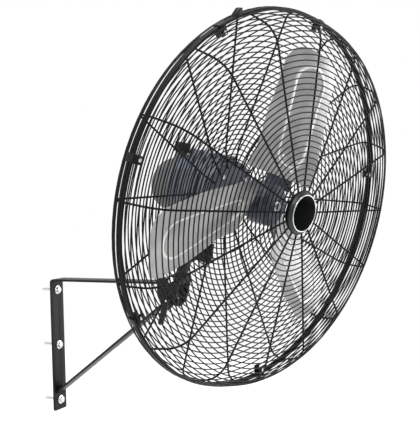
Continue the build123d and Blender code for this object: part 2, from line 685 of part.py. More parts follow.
def cover_half(inset):
    """Half section of the case, drawn in from the outside by the inset."""
    radius = COVER_R - inset
    back = COVER_END + inset
    bend = COVER_ROUND - inset
    with BuildSketch(cover_section) as half:
        with BuildLine():
            Line((0, cover_front), (radius, cover_front))
            Line((radius, cover_front), (radius, back + bend))
            RadiusArc((radius, back + bend), (radius - bend, back), bend)
            Line((radius - bend, back), (0, back))
            Line((0, back), (0, cover_front))
        make_face()
    return half.sketch


with BuildPart() as gear_cover:
    revolve(cover_half(0), axis=cover_axis)
    with BuildSketch(spindle_flat):
        Circle(STEM_R)
    extrude(amount=STEM_TOP)
    revolve(cover_half(COVER_T), axis=cover_axis, mode=Mode.SUBTRACT)
    with BuildSketch(spindle_flat.offset(-MOTOR_R - COVER_R)):
        Circle((SPINDLE_D + RUN_PLAY) / 2)
    extrude(amount=4 * COVER_R, mode=Mode.SUBTRACT)
    # cooling slots in the lower half of the rear face
    with BuildSketch(cover_middle.offset(COVER_END)):
        for row in range(5):
            with Locations((0, -8 - 7 * row)):
                SlotOverall(56 - 5 * row, 3.4)
    extrude(amount=COVER_T, mode=Mode.SUBTRACT)
finish(gear_cover, "gear_cover")

with BuildPart() as wiring_box:
    box_middle = (BOX_FRONT + BOX_END) / 2
    box_long = BOX_FRONT - BOX_END
    box_flat = Plane(head_frame * Location((0, -RIM_REACH - box_middle, 0)))
    with BuildSketch(box_flat.offset(MOTOR_R * 0.8)):
        RectangleRounded(BOX_W, box_long, BOX_ROUND)
    extrude(amount=BOX_TOP - BOX_LID_T - MOTOR_R * 0.8)
    with BuildSketch(box_flat.offset(MOTOR_R + SHELL_T)):
        RectangleRounded(BOX_W - 2 * BOX_WALL, box_long - 2 * BOX_WALL, BOX_ROUND - BOX_WALL)
    extrude(amount=BOX_TOP, mode=Mode.SUBTRACT)
    with BuildSketch(rim):
        Circle(MOTOR_R)
    extrude(amount=COVER_END, mode=Mode.SUBTRACT)
finish(wiring_box, "wiring_box")

box_screws = [(x, y) for x in (-BOX_W / 2 + 7, BOX_W / 2 - 7) for y in (-box_long / 2 + 7, box_long / 2 - 7)]
with BuildPart() as box_lid:
    with BuildSketch(box_flat.offset(BOX_TOP - BOX_LID_T)):
        RectangleRounded(BOX_W, box_long, BOX_ROUND)
    extrude(amount=BOX_LID_T)
    chamfer(box_lid.faces().sort_by(Axis(box_flat.origin, box_flat.z_dir))[-1].edges(), 1.5)
finish(box_lid, "box_lid")

with BuildPart() as lid_screws:
    with BuildSketch(box_flat.offset(BOX_TOP)):
        with Locations(*box_screws):
            Circle(2.8)
    extrude(amount=1.8)
finish(lid_screws, "lid_screws")


# =================================== guards =================================
def wire_places(points, bend, count, first):
    """Places of the concentric wires along a guard's profile: radius, place, lean."""
    with BuildLine() as run:
        FilletPolyline(*points, radius=bend)
    wire = run.wires()[0]
    places = []
    for k in range(count):
        share = (first + (wire.length - first - 3 * RING_WIRE) * k / (count - 1)) / wire.length
        spot = wire.position_at(share)
        along = wire.tangent_at(share)
        places.append((spot.X, spot.Y, degrees(atan2(along.Y, along.X))))
    return places


front_run = [
    (RIM_R, EDGE_WIRE / 2),
    (RIM_R - FRONT_DRAW_IN, FRONT_SHOULDER),
    (BEZEL_R + 1, FRONT_FACE),
]
rear_seat = BELL_FRONT + GUARD_PLATE_T + RIB_WIRE / 2
rear_run = [(RIM_R, -EDGE_WIRE / 2), (RIM_R, REAR_SHOULDER), (REAR_END_R, rear_seat)]
rear_end = (REAR_END_R - REAR_TAIL, rear_seat)
ring_seat = (RIB_WIRE + RING_WIRE) / 2 - WELD_BITE      # ring's middle from the rib's middle


def guard(run, bend, outward, name, tail=None):
    """A welded basket: an edge ring, concentric wires and bent ribs."""
    with BuildPart() as basket:
        with BuildSketch(section):
            with Locations(run[0]):
                RegularPolygon(EDGE_WIRE / 2, 4, rotation=45, major_radius=False)
        revolve(axis=fan_axis)
        with BuildSketch(section):
            for radius, place, lean in wire_places(run, bend, CAD_RINGS, FIRST_RING):
                side_step = Vector(-sin(radians(lean)), cos(radians(lean))) * outward * ring_seat
                with Locations(Location((radius + side_step.X, place + side_step.Y, 0), (0, 0, lean))):
                    Rectangle(RING_WIRE, RING_WIRE)
        revolve(axis=fan_axis)
        for k in range(RIBS):
            turn = radians(RIB_PHASE + 360 / RIBS * k)
            out = rim.x_dir * cos(turn) + rim.y_dir * sin(turn)
            rib_section = Plane(rim.origin, x_dir=out, z_dir=out.cross(rim.z_dir))
            with BuildSketch(rib_section):
                with BuildLine():
                    if tail is None:
                        FilletPolyline(*run, radius=bend)
                    else:
                        FilletPolyline(*run, tail, radius=[bend, bend / 2])
                trace(line_width=RIB_WIRE)
            extrude(amount=RIB_WIRE / 2, both=True)
    finish(basket, name)


guard(front_run, FRONT_BEND, -1, "front_guard")
guard(rear_run, REAR_BEND, 1, "rear_guard", rear_end)

with BuildPart() as guard_plate:
    with BuildSketch(rim.offset(BELL_FRONT)):
        Circle(GUARD_PLATE_R)
        Circle(BEARING_D / 2 + 8, mode=Mode.SUBTRACT)
        with PolarLocations(PLATE_SCREW_RING, 4, 45):
            Circle((PLATE_SCREW_D + HOLE_PLAY) / 2, mode=Mode.SUBTRACT)
    extrude(amount=GUARD_PLATE_T)
finish(guard_plate, "guard_plate")

with BuildPart() as guard_plate_screws:
    with BuildSketch(rim.offset(BELL_FRONT + GUARD_PLATE_T)):
        with PolarLocations(PLATE_SCREW_RING, 4, 45):
            RegularPolygon(PLATE_SCREW_D, 6)
    extrude(amount=PLATE_SCREW_D * 0.7)
    with BuildSketch(rim.offset(BELL_FRONT + GUARD_PLATE_T)):
        with PolarLocations(PLATE_SCREW_RING, 4, 45):
            Circle(PLATE_SCREW_D / 2)
    extrude(amount=-GUARD_PLATE_T - BELL_T + 0.5)
finish(guard_plate_screws, "guard_plate_screws")

# clips that hold the two edge rings together, each with its screw
clip_places = [RIB_PHASE + 360 / RIBS * (gap + 0.5) for gap in CLIP_GAPS]
clip_out = RIM_R + EDGE_WIRE / 2
clip_spots = [
    ((clip_out - CLIP_SCREW_IN) * cos(radians(angle)), (clip_out - CLIP_SCREW_IN) * sin(radians(angle)))
    for angle in clip_places
]
with BuildPart() as guard_clips:
    for angle in clip_places:
        turn = radians(angle)
        out = rim.x_dir * cos(turn) + rim.y_dir * sin(turn)
        clip_section = Plane(rim.origin, x_dir=out, z_dir=out.cross(rim.z_dir))
        with BuildSketch(clip_section):
            Polygon(
                (clip_out - CLIP_IN, EDGE_WIRE + CLIP_T),
                (clip_out + CLIP_T, EDGE_WIRE + CLIP_T),
                (clip_out + CLIP_T, -EDGE_WIRE - CLIP_T),
                (clip_out - CLIP_IN, -EDGE_WIRE - CLIP_T),
                (clip_out - CLIP_IN, -EDGE_WIRE),
                (clip_out, -EDGE_WIRE),
                (clip_out, EDGE_WIRE),
                (clip_out - CLIP_IN, EDGE_WIRE),
                align=None,
            )
        extrude(amount=CLIP_W / 2, both=True)
    with BuildSketch(rim.offset(-2 * EDGE_WIRE)):
        with Locations(*clip_spots):
            Circle((CLIP_SCREW_D + HOLE_PLAY) / 2)
    extrude(amount=4 * EDGE_WIRE, mode=Mode.SUBTRACT)
finish(guard_clips, "guard_clips")

with BuildPart() as clip_screws:
    with BuildSketch(rim.offset(EDGE_WIRE + CLIP_T)):
        with Locations(*clip_spots):
            Circle(CLIP_SCREW_D * 0.9)
    extrude(amount=CLIP_SCREW_D * 0.65)
    with BuildSketch(rim.offset(EDGE_WIRE + CLIP_T)):
        with Locations(*clip_spots):
            Circle(CLIP_SCREW_D / 2)
    extrude(amount=-2 * (EDGE_WIRE + CLIP_T) - 7)
finish(clip_screws, "clip_screws")

with BuildPart() as clip_nuts:
    with BuildSketch(rim.offset(-EDGE_WIRE - CLIP_T)):
        with Locations(*clip_spots):
            RegularPolygon(CLIP_SCREW_D, 6)
            Circle((CLIP_SCREW_D + RUN_PLAY) / 2, mode=Mode.SUBTRACT)
    extrude(amount=-CLIP_SCREW_D * 0.8)
finish(clip_nuts, "clip_nuts")

# ================================= hub cap ==================================
with BuildPart() as cap_plate:
    with BuildSketch(rim.offset(CAP_BACK)):
        Circle(CAP_PLATE_R)
        with PolarLocations(CAP_SCREW_RING, 3, 90):
            Circle((CAP_SCREW_D + HOLE_PLAY) / 2, mode=Mode.SUBTRACT)
    extrude(amount=-CAP_PLATE_T)
finish(cap_plate, "cap_plate")

with BuildPart() as hub_cap:
    with BuildSketch(section):
        Polygon(
            (BEZEL_R, CAP_BACK),
            (BEZEL_R, CAP_BACK + 4),
            (CAP_DISC_R + 3, CAP_FACE - 1),
            (CAP_DISC_R + 1.2, CAP_FACE),
            (CAP_DISC_R, CAP_FACE),
            (CAP_DISC_R, CAP_FACE - CAP_DISC_T),
            (0, CAP_FACE - CAP_DISC_T),
            (0, CAP_FACE - 2 * CAP_DISC_T),
            (CAP_DISC_R, CAP_FACE - 2 * CAP_DISC_T),
            (BEZEL_R - 4, CAP_BACK + 3),
            (BEZEL_R - 4, CAP_BACK),
            align=None,
        )
    revolve(axis=fan_axis)
    with BuildSketch(rim.offset(CAP_BACK)):
        with PolarLocations(CAP_SCREW_RING, 3, 90):
            Circle(CAP_BOSS_R)
            Circle(CAP_SCREW_D / 2, mode=Mode.SUBTRACT)
    extrude(amount=CAP_FACE - 2 * CAP_DISC_T - CAP_BACK)
finish(hub_cap, "hub_cap")

with BuildPart() as cap_disc:
    with BuildSketch(rim.offset(CAP_FACE - CAP_DISC_T)):
        Circle(CAP_DISC_R)
    extrude(amount=CAP_DISC_T)
    chamfer(cap_disc.faces().sort_by(fan_axis)[-1].edges(), 0.8)
finish(cap_disc, "cap_disc")

with BuildPart() as cap_screws:
    with BuildSketch(rim.offset(CAP_BACK - CAP_PLATE_T)):
        with PolarLocations(CAP_SCREW_RING, 3, 90):
            Circle(CAP_SCREW_D * 0.9)
    extrude(amount=-CAP_SCREW_D * 0.6)
    with BuildSketch(rim.offset(CAP_BACK - CAP_PLATE_T)):
        with PolarLocations(CAP_SCREW_RING, 3, 90):
            Circle(CAP_SCREW_D / 2)
    extrude(amount=CAP_PLATE_T + 6.5)
finish(cap_screws, "cap_screws")

# ================================= impeller =================================
# each blade station: radius, middle of the chord off the blade's own line, pitch
STATIONS = [(ROOT_R, -11.3, 30.0), (130.0, -16.5, 26.0), (215.0, -9.8, 19.5), (TIP_R + 14, 1.8, 14.0)]


def blade_frame(k):
    """Frame of blade k: x along the blade, y with the angle, z forward."""
    turn = radians(BLADE_PHASE + 360 / BLADES * k)
    out = rim.x_dir * cos(turn) + rim.y_dir * sin(turn)
    return Plane(rim.origin + BLADE_MID * rim.z_dir, x_dir=out, z_dir=rim.z_dir)


def station_at(radius):
    """Radius, offset of the chord's middle, and pitch of the sheet there."""
    for near, far in zip(STATIONS, STATIONS[1:]):
        if radius <= far[0] or far is STATIONS[-1]:
            share = (radius - near[0]) / (far[0] - near[0])
            offset = near[1] + (far[1] - near[1]) * share
            slope = tan(radians(near[2]))
            slope += (tan(radians(far[2])) - slope) * share
            return radius, offset, degrees(atan2(slope, 1))


def sheet_point(station, across, lift):
    """Point of a blade's sheet, in the blade's frame, across from the chord's middle."""
    radius, offset, pitch = station
    drop = CAMBER * (2 * across / BLADE_W) ** 2
    height = CAMBER - drop - across * tan(radians(pitch)) + lift
    return Vector(radius, offset + across, height)


def sheet_face(frame, station, half, front, back):
    """Cross-section of a bent sheet at one station."""
    flat = Plane(frame.from_local_coords(Vector(station[0], 0, 0)), x_dir=frame.y_dir, z_dir=frame.x_dir)
    top = []
    low = []
    for across in (half, 0, -half):
        top.append(flat.to_local_coords(frame.from_local_coords(sheet_point(station, across, front))))
        low.append(flat.to_local_coords(frame.from_local_coords(sheet_point(station, across, back))))
    with BuildSketch(flat) as face:
        with BuildLine():
            ThreePointArc(*top)
            Line(top[2], low[2])
            ThreePointArc(low[2], low[1], low[0])
            Line(low[0], top[0])
        make_face()
    return face.sketch


def rivet_plane(frame, radius, across):
    """Plane on the blade's front face at a rivet, square to the sheet."""
    here = sheet_point(station_at(radius), across, BLADE_T / 2)
    outward = sheet_point(station_at(radius + 1), across, BLADE_T / 2) - here
    sideways = sheet_point(station_at(radius), across + 1, BLADE_T / 2) - here
    normal = outward.cross(sideways).normalized()
    spot = frame.from_local_coords(here + normal * RIVET_SEAT)
    z_dir = frame.x_dir * normal.X + frame.y_dir * normal.Y + frame.z_dir * normal.Z
    return Plane(spot, x_dir=frame.x_dir, z_dir=z_dir)


rivet_planes = [rivet_plane(blade_frame(k), *spot) for k in range(BLADES) for spot in RIVET_SPOTS]

blade_outline = []
for way, run in ((-1, STATIONS), (1, STATIONS[::-1])):
    for radius, offset, pitch in run:
        blade_outline.append((radius, offset + way * BLADE_W / 2))


def bead_ring(frame, low, high, width):
    """The part of a sheet from low to high that lies in the bead's closed loop."""
    tip_place = TIP_R - BEAD_TIP_IN
    with BuildPart() as ring:
        loft([sheet_face(frame, station, BLADE_W / 2 - 10, high, low) for station in STATIONS], ruled=True)
        with BuildSketch(frame.offset(-80)):
            for grow, mode in ((width / 2, Mode.ADD), (-width / 2, Mode.SUBTRACT)):
                with BuildSketch(mode=Mode.PRIVATE) as loop:
                    with Locations((BEAD_ROOT[0], station_at(BEAD_ROOT[0])[1])):
                        Circle(BEAD_ROOT[1] + grow)
                    with Locations((tip_place, station_at(tip_place)[1])):
                        Circle(BEAD_TIP_R + grow)
                    make_hull()
                add(loop.sketch, mode=mode)
        extrude(amount=160, mode=Mode.INTERSECT)
    return ring.part


for k in range(BLADES):
    frame = blade_frame(k)
    half = BLADE_T / 2
    raised = bead_ring(frame, half - 0.6, half + BEAD_RISE, BEAD_W)
    hollow = bead_ring(frame, -half - 0.6, -half + BEAD_RISE, BEAD_W - 2 * BEAD_WALL)
    with BuildPart() as blade:
        loft([sheet_face(frame, station, BLADE_W / 2 + 3, half, -half) for station in STATIONS], ruled=True)
        with BuildSketch(frame.offset(-80)) as planform:
            Polygon(*blade_outline, align=None)
            Circle(TIP_R, mode=Mode.INTERSECT)
            fillet(planform.vertices().sort_by(Axis.X)[-2:], TIP_ROUND)
        extrude(amount=160, mode=Mode.INTERSECT)
        add(raised)
        add(hollow, mode=Mode.SUBTRACT)
        with Locations(*[plane.location for plane in rivet_planes[4 * k : 4 * k + 4]]):
            Cylinder(RIVET_R, 12, mode=Mode.SUBTRACT)
    finish(blade, f"blade_{k + 1}")

with BuildPart() as impeller_hub:
    with BuildSketch(section):
        Polygon(
            (SHAFT_D / 2, HUB_BACK),
            (HUB_BOSS_R, HUB_BACK),
            (HUB_BOSS_R, HUB_FRONT - 7),
            (HUB_R - HUB_WALL, HUB_FRONT - 9),
            (HUB_R - HUB_WALL, HUB_BACK + 4),
            (HUB_R, HUB_BACK + 4),
            (HUB_R, HUB_FRONT - 5),
            (HUB_R - 5, HUB_FRONT),
            (SHAFT_D / 2, HUB_FRONT),
            align=None,
        )
    revolve(axis=fan_axis)
    for k in range(BLADES):
        frame = blade_frame(k)
        back = -BLADE_T / 2 - ARM_PLAY
        arm_run = (ARM_ENDS[0], sum(ARM_ENDS) / 2, ARM_ENDS[1])
        faces = [sheet_face(frame, station_at(radius), ARM_HALF, back, back - ARM_T) for radius in arm_run]
        loft(faces, ruled=True)
    with BuildSketch(section):
        Rectangle(SHAFT_D / 2, 200, align=(Align.MIN, Align.CENTER))
    revolve(axis=fan_axis, mode=Mode.SUBTRACT)
    with Locations(*[plane.location for plane in rivet_planes]):
        Cylinder(RIVET_R, 24, mode=Mode.SUBTRACT)
finish(impeller_hub, "impeller_hub")

with BuildPart() as blade_rivets:
    with Locations(*[plane.location for plane in rivet_planes]):
        Cylinder(RIVET_HEAD_R, RIVET_HEAD_T, align=(Align.CENTER, Align.CENTER, Align.MIN))
    with Locations(*[plane.offset(0.1).location for plane in rivet_planes]):
        Cylinder(RIVET_R, BLADE_T + ARM_T + 2, align=(Align.CENTER, Align.CENTER, Align.MAX))
finish(blade_rivets, "blade_rivets")

shaft_front = HUB_FRONT + HUB_NUT_T + SHAFT_PAST_NUT
worm_front, worm_back = SPINDLE_AT + WORM_FRONT_LENGTH, SPINDLE_AT - WORM_BACK_LENGTH
with BuildPart() as motor_shaft:
    with BuildSketch(rim.offset(shaft_front)):
        Circle(SHAFT_D / 2)
    extrude(amount=worm_back - 4 - shaft_front)
    chamfer(motor_shaft.faces().sort_by(fan_axis)[-1].edges(), 1)
finish(motor_shaft, "motor_shaft")

with BuildPart() as hub_nut:
    with BuildSketch(rim.offset(HUB_FRONT)):
        RegularPolygon(SHAFT_D * 0.92, 6)
        Circle(SHAFT_D / 2, mode=Mode.SUBTRACT)
    extrude(amount=HUB_NUT_T)
finish(hub_nut, "hub_nut")

with BuildPart() as rotor_core:
    with BuildSketch(rim.offset(CORE_FRONT)):
        Circle(CORE_R)
        Circle(SHAFT_D / 2, mode=Mode.SUBTRACT)
    extrude(amount=CORE_BACK - CORE_FRONT)
finish(rotor_core, "rotor_core")

with BuildPart() as worm:
    with BuildSketch(rim.offset(worm_front)):
        Circle(WORM_R)
        Circle(SHAFT_D / 2, mode=Mode.SUBTRACT)
    extrude(amount=worm_back - worm_front)
finish(worm, "worm")

# =============================== oscillator =================================
wheel_r = -SPINDLE_X - WORM_R - FACE_PLAY
with BuildPart() as worm_wheel:
    with BuildSketch(spindle_flat.offset(-WHEEL_T / 2)):
        Circle(wheel_r)
        Circle((SPINDLE_D + RUN_PLAY) / 2, mode=Mode.SUBTRACT)
        with PolarLocations(wheel_r, WHEEL_TEETH):
            Rectangle(3, 1.6, mode=Mode.SUBTRACT)
    extrude(amount=WHEEL_T)
finish(worm_wheel, "worm_wheel")


def above_bolt_at_spindle(height):
    """A level plane through the spindle, this far above the tilt bolt."""
    return spindle_flat.offset(height - AXIS_RISE)


with BuildPart() as gear_spindle:
    with BuildSketch(above_bolt_at_spindle(CRANK_LOW)):
        Circle(SPINDLE_D / 2)
    extrude(amount=AXIS_RISE - CRANK_LOW + KNOB_TOP - 14)
    with BuildSketch(spindle_flat.offset(-WHEEL_T / 2 - FACE_PLAY)):
        Circle(SPINDLE_D / 2 + 2)
    extrude(amount=-6)
finish(gear_spindle, "gear_spindle")

crank_spot = (-CRANK_R * cos(radians(2 * PAN)), CRANK_R * sin(radians(2 * PAN)))
with BuildPart() as crank:
    with BuildSketch(above_bolt_at_spindle(CRANK_LOW)):
        Circle(CRANK_DISC_R)
        Circle(SPINDLE_D / 2, mode=Mode.SUBTRACT)
        with Locations(crank_spot):
            Circle(CRANK_PIN_D / 2, mode=Mode.SUBTRACT)
    extrude(amount=CRANK_T)
finish(crank, "crank")

with BuildPart() as crank_pin:
    with BuildSketch(above_bolt_at_spindle(CRANK_LOW + CRANK_T)):
        with Locations(crank_spot):
            Circle(CRANK_PIN_D / 2)
    extrude(amount=LINK_LOW - FACE_PLAY - 3.2 - CRANK_LOW - CRANK_T)
    with BuildSketch(above_bolt_at_spindle(CRANK_LOW)):
        with Locations(crank_spot):
            Circle(CRANK_PIN_D / 2 + 2)
    extrude(amount=LINK_TOP + FACE_PLAY - CRANK_LOW)
    with BuildSketch(above_bolt_at_spindle(LINK_LOW - FACE_PLAY)):
        with Locations(crank_spot):
            Circle(CRANK_PIN_D / 2 + 2)
    extrude(amount=-3.2)
finish(crank_pin, "crank_pin")

# the link, from the crank pin to over the neck's ear, in the head's level plane
link_back = Vector(SPINDLE_X + crank_spot[0], -RIM_REACH - SPINDLE_AT + crank_spot[1])
link_front = Vector(-LINK_ARM * cos(radians(PAN)), LINK_ARM * sin(radians(PAN)))
with BuildPart() as link_arm:
    with BuildSketch(above_bolt(LINK_LOW)):
        with BuildLine():
            Line(link_back, link_front)
        trace(line_width=LINK_W)
        with Locations(link_back, link_front):
            Circle(LINK_EYE_R)
        with Locations(link_back, link_front):
            Circle((CRANK_PIN_D + RUN_PLAY) / 2, mode=Mode.SUBTRACT)
    extrude(amount=LINK_T)
finish(link_arm, "link_arm")

with BuildPart() as clutch_knob:
    with BuildSketch(spindle_flat.offset(STEM_TOP + FACE_PLAY)):
        Circle(KNOB_R)
        with PolarLocations(KNOB_R, KNOB_FLUTES):
            Circle(1.6, mode=Mode.SUBTRACT)
    extrude(amount=KNOB_H)
    with BuildSketch(spindle_flat.offset(STEM_TOP)):
        Circle((SPINDLE_D + RUN_PLAY) / 2)
    extrude(amount=KNOB_TOP - 6 - STEM_TOP, mode=Mode.SUBTRACT)
finish(clutch_knob, "clutch_knob")

with BuildPart() as cord_gland:
    gland_plane = rim.offset(BOX_END)
    gland_spot = (GLAND_X, MOTOR_R + GLAND_RISE)
    with BuildSketch(gland_plane):
        with Locations(gland_spot):
            RegularPolygon(4.8, 6)
    extrude(amount=-5)
    with BuildSketch(gland_plane.offset(-5)):
        with Locations(gland_spot):
            Circle(4.2)
    extrude(amount=-7)
    with BuildSketch(gland_plane):
        with Locations(gland_spot):
            Circle(GLAND_BORE_R)
    extrude(amount=-12, mode=Mode.SUBTRACT)
finish(cord_gland, "cord_gland")
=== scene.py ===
# %% [markdown]
# # A wall fan, dressed for its portrait
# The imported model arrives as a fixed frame: every bolt, guard and blade is already at its
# true place, in metres, with the wall at Y = 0 and the fan blowing along -Y. This lesson
# keeps those places and gives each piece the surface that the real one has. Pieces that
# the frame holds in a plain form, such as the wire guards and the pressed blades, are made
# again here in full.

# %% Load the frame
import json
from math import atan2, ceil, cos, degrees, hypot, pi, radians, sin, sqrt, tan

import bmesh
import bpy
from mathutils import Matrix, Vector

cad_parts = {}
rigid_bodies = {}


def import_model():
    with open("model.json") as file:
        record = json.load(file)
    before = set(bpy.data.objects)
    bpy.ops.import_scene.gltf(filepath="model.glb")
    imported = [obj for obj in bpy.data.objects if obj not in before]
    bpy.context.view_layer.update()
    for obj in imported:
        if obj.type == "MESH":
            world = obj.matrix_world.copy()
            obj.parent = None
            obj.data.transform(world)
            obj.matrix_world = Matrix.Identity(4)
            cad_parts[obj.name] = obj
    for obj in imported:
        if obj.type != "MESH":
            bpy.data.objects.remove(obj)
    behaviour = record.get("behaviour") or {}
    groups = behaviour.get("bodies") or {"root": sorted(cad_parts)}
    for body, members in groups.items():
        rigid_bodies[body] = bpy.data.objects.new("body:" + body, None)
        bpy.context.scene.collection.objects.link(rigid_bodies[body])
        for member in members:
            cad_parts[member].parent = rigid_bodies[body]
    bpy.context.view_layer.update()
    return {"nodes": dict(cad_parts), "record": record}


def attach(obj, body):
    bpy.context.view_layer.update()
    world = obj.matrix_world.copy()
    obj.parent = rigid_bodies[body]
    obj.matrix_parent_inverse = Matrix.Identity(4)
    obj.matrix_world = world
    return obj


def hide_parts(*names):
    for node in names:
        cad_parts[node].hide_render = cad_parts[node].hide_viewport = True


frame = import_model()

# %% [markdown]
# ## Three frames
# The bracket stands square to the wall, but the fan's head nods down at the tilt bolt and
# is turned aside at the pan pin. Working in each one's own frame is far easier than
# working out slanted places by hand, so the two turns are kept as matrices. The last one
# lies in the plane where the two guards meet: x to the side, y up and z forward. Sizes
# are written in millimetres, as on a drawing, and MM turns them to the frame's metres.

# %% Frames of the tilted neck and of the turned head
MM = 0.001
TILT = radians(13.2)
PAN = radians(-16.1)
TILT_BOLT = Vector((0.0, -350.0, 168.0)) * MM
PAN_POINT = Vector((0.0, -50.0, 213.5)) * MM
RIM_REACH = 140.6 * MM

tilt_frame = Matrix.Translation(TILT_BOLT) @ Matrix.Rotation(TILT, 4, "X")
head_frame = tilt_frame @ Matrix.Translation(PAN_POINT) @ Matrix.Rotation(PAN, 4, "Z")
rim_frame = head_frame @ Matrix.Translation((0, -RIM_REACH, 0)) @ Matrix.Rotation(pi / 2, 4, "X")
print("middle of the guards' rim:", [round(v, 4) for v in rim_frame.translation])

# %% [markdown]
# ## The camera
# The photograph was taken from the fan's left, a little above its arm, with a short
# telephoto lens. Matching the wall bolts, the rim and the hub cap gave its place, its
# three turns and its focal length.


# %% Camera at the photograph's place
def in_scene(name, data):
    """A new object with this data, linked to the scene."""
    thing = bpy.data.objects.new(name, data)
    bpy.context.scene.collection.objects.link(thing)
    return thing


CAMERA_PLACE = Vector((-1492.6, -1175.7, 339.1)) * MM
CAMERA_YAW = radians(63.45)
CAMERA_PITCH = radians(-0.805)
CAMERA_ROLL = radians(-1.581)
FOCAL_PIXELS = 757.5
LONG_SIDE_PIXELS = 426
SENSOR_WIDTH = 36.0

level_look = Vector((sin(CAMERA_YAW), cos(CAMERA_YAW), 0.0))
look = level_look * cos(CAMERA_PITCH) + Vector((0, 0, sin(CAMERA_PITCH)))
level_right = Vector((cos(CAMERA_YAW), -sin(CAMERA_YAW), 0.0))
level_up = level_right.cross(look)
camera_right = cos(CAMERA_ROLL) * level_right + sin(CAMERA_ROLL) * level_up
camera_up = cos(CAMERA_ROLL) * level_up - sin(CAMERA_ROLL) * level_right
camera_data = bpy.data.cameras.new("portrait_camera")
camera_data.sensor_width = SENSOR_WIDTH
camera_data.lens = FOCAL_PIXELS * SENSOR_WIDTH / LONG_SIDE_PIXELS
camera = in_scene("portrait_camera", camera_data)
facing = Matrix((camera_right, camera_up, -look)).transposed().to_4x4()
camera.matrix_world = Matrix.Translation(CAMERA_PLACE) @ facing
bpy.context.scene.camera = camera
print("lens:", round(camera_data.lens, 2), "mm")

# %% [markdown]
# ## Nodes by one small function
# Every material and every Geometry Nodes tree below is a short list of nodes. One helper
# adds a node, sets its options and joins its inputs, so that each step reads as one line.
# Another turns a colour, written as it looks on a screen, into linear light.


# %% Helpers for nodes and colours
def add_node(tree, kind, inputs=None, **options):
    """Add a node, set its options, and set its inputs or join them to other nodes."""
    node = tree.nodes.new(kind)
    for name, value in options.items():
        setattr(node, name, value)
    for key, value in (inputs or {}).items():
        if isinstance(value, bpy.types.NodeSocket):
            tree.links.new(value, node.inputs[key])
        else:
            node.inputs[key].default_value = value
    return node


def blank_tree(owner):
    """The node tree of a world or a material, emptied."""
    owner.use_nodes = True
    owner.node_tree.nodes.clear()
    return owner.node_tree


def linear(hex_text):
    """Linear light of an sRGB hex colour, by the curve of the sRGB standard."""
    channels = []
    for start in (0, 2, 4):
        value = int(hex_text[start : start + 2], 16) / 255
        channels.append(value / 12.92 if value <= 0.04045 else ((value + 0.055) / 1.055) ** 2.4)
    return (*channels, 1.0)


print("8C8C8C is", [round(v, 3) for v in linear("8C8C8C")[:3]], "in linear light")

# %% [markdown]
# ## Light and floor
# The product photograph has a plain white ground and big soft lamps. Lamps are wide area
# lights, so that black wire shows soft streaks and not hard points. The ground is white
# only to the camera and in reflections: if it also lit the fan, the black would turn grey.


# %% Lamps
def soft_lamp(name, place, aim, size, watts):
    """A wide area light at a place in metres, turned to face a point."""
    data = bpy.data.lights.new(name, "AREA")
    data.shape = "RECTANGLE"
    data.size, data.size_y = size
    data.energy = watts
    towards = (Vector(aim) - Vector(place)).to_track_quat("-Z", "Y").to_matrix().to_4x4()
    in_scene(name, data).matrix_world = Matrix.Translation(place) @ towards


fan_middle = tuple(rim_frame.translation)
soft_lamp("key_lamp", (-2.2, -2.6, 2.6), fan_middle, (1.8, 1.8), 95)
soft_lamp("fill_lamp", (1.9, -2.6, 0.9), fan_middle, (1.6, 2.2), 38)
soft_lamp("top_lamp", (-0.3, -0.7, 2.9), fan_middle, (2.2, 1.4), 60)
soft_lamp("side_lamp", (-2.6, 0.5, 0.8), (0, -0.4, 0.3), (1.2, 2.0), 30)
# A white card low on the right, which the lower blade mirrors towards the camera.
soft_lamp("card_lamp", (2.5, -1.9, 0.05), fan_middle, (1.3, 1.3), 11)


# %% Ground and world
def seen_white(tree):
    """1 for rays from the camera, from a gloss or through glass, and 0 for the rest."""
    ray = add_node(tree, "ShaderNodeLightPath")
    pair = {0: ray.outputs["Is Camera Ray"], 1: ray.outputs["Is Glossy Ray"]}
    first = add_node(tree, "ShaderNodeMath", pair, operation="MAXIMUM")
    pair = {0: first.outputs[0], 1: ray.outputs["Is Transmission Ray"]}
    return add_node(tree, "ShaderNodeMath", pair, operation="MAXIMUM").outputs[0]


FLOOR_HEIGHT = -1.35
FLOOR_HALF = 6.0
WORLD_ON_FAN = 0.42
WORLD_SEEN = 1.0
FLOOR_GLOW = 0.8
WHITE = linear("FFFFFF")

world = bpy.data.worlds.new("studio")
bpy.context.scene.world = world
tree = blank_tree(world)
dim = add_node(tree, "ShaderNodeBackground", {"Color": WHITE, "Strength": WORLD_ON_FAN})
bright = add_node(tree, "ShaderNodeBackground", {"Color": WHITE, "Strength": WORLD_SEEN})
choice = {0: seen_white(tree), 1: dim.outputs[0], 2: bright.outputs[0]}
mixed = add_node(tree, "ShaderNodeMixShader", choice)
add_node(tree, "ShaderNodeOutputWorld", {"Surface": mixed.outputs[0]})

around = ((-1, -1), (1, -1), (1, 1), (-1, 1))
corners = [(x * FLOOR_HALF, y * FLOOR_HALF, FLOOR_HEIGHT) for x, y in around]
floor_mesh = bpy.data.meshes.new("floor")
floor_mesh.from_pydata(corners, [], [(0, 1, 2, 3)])
floor = in_scene("floor", floor_mesh)
paper = bpy.data.materials.new("floor_paper")
tree = blank_tree(paper)
matt = add_node(tree, "ShaderNodeBsdfDiffuse", {"Color": linear("F4F4F2")})
glow = add_node(tree, "ShaderNodeEmission", {"Color": WHITE, "Strength": FLOOR_GLOW})
both = add_node(tree, "ShaderNodeAddShader", {0: matt.outputs[0], 1: glow.outputs[0]})
choice = {0: seen_white(tree), 1: matt.outputs[0], 2: both.outputs[0]}
mixed = add_node(tree, "ShaderNodeMixShader", choice)
add_node(tree, "ShaderNodeOutputMaterial", {"Surface": mixed.outputs[0]})
floor_mesh.materials.append(paper)
bpy.context.scene.view_settings.view_transform = "Standard"
print("floor at", FLOOR_HEIGHT, "m")

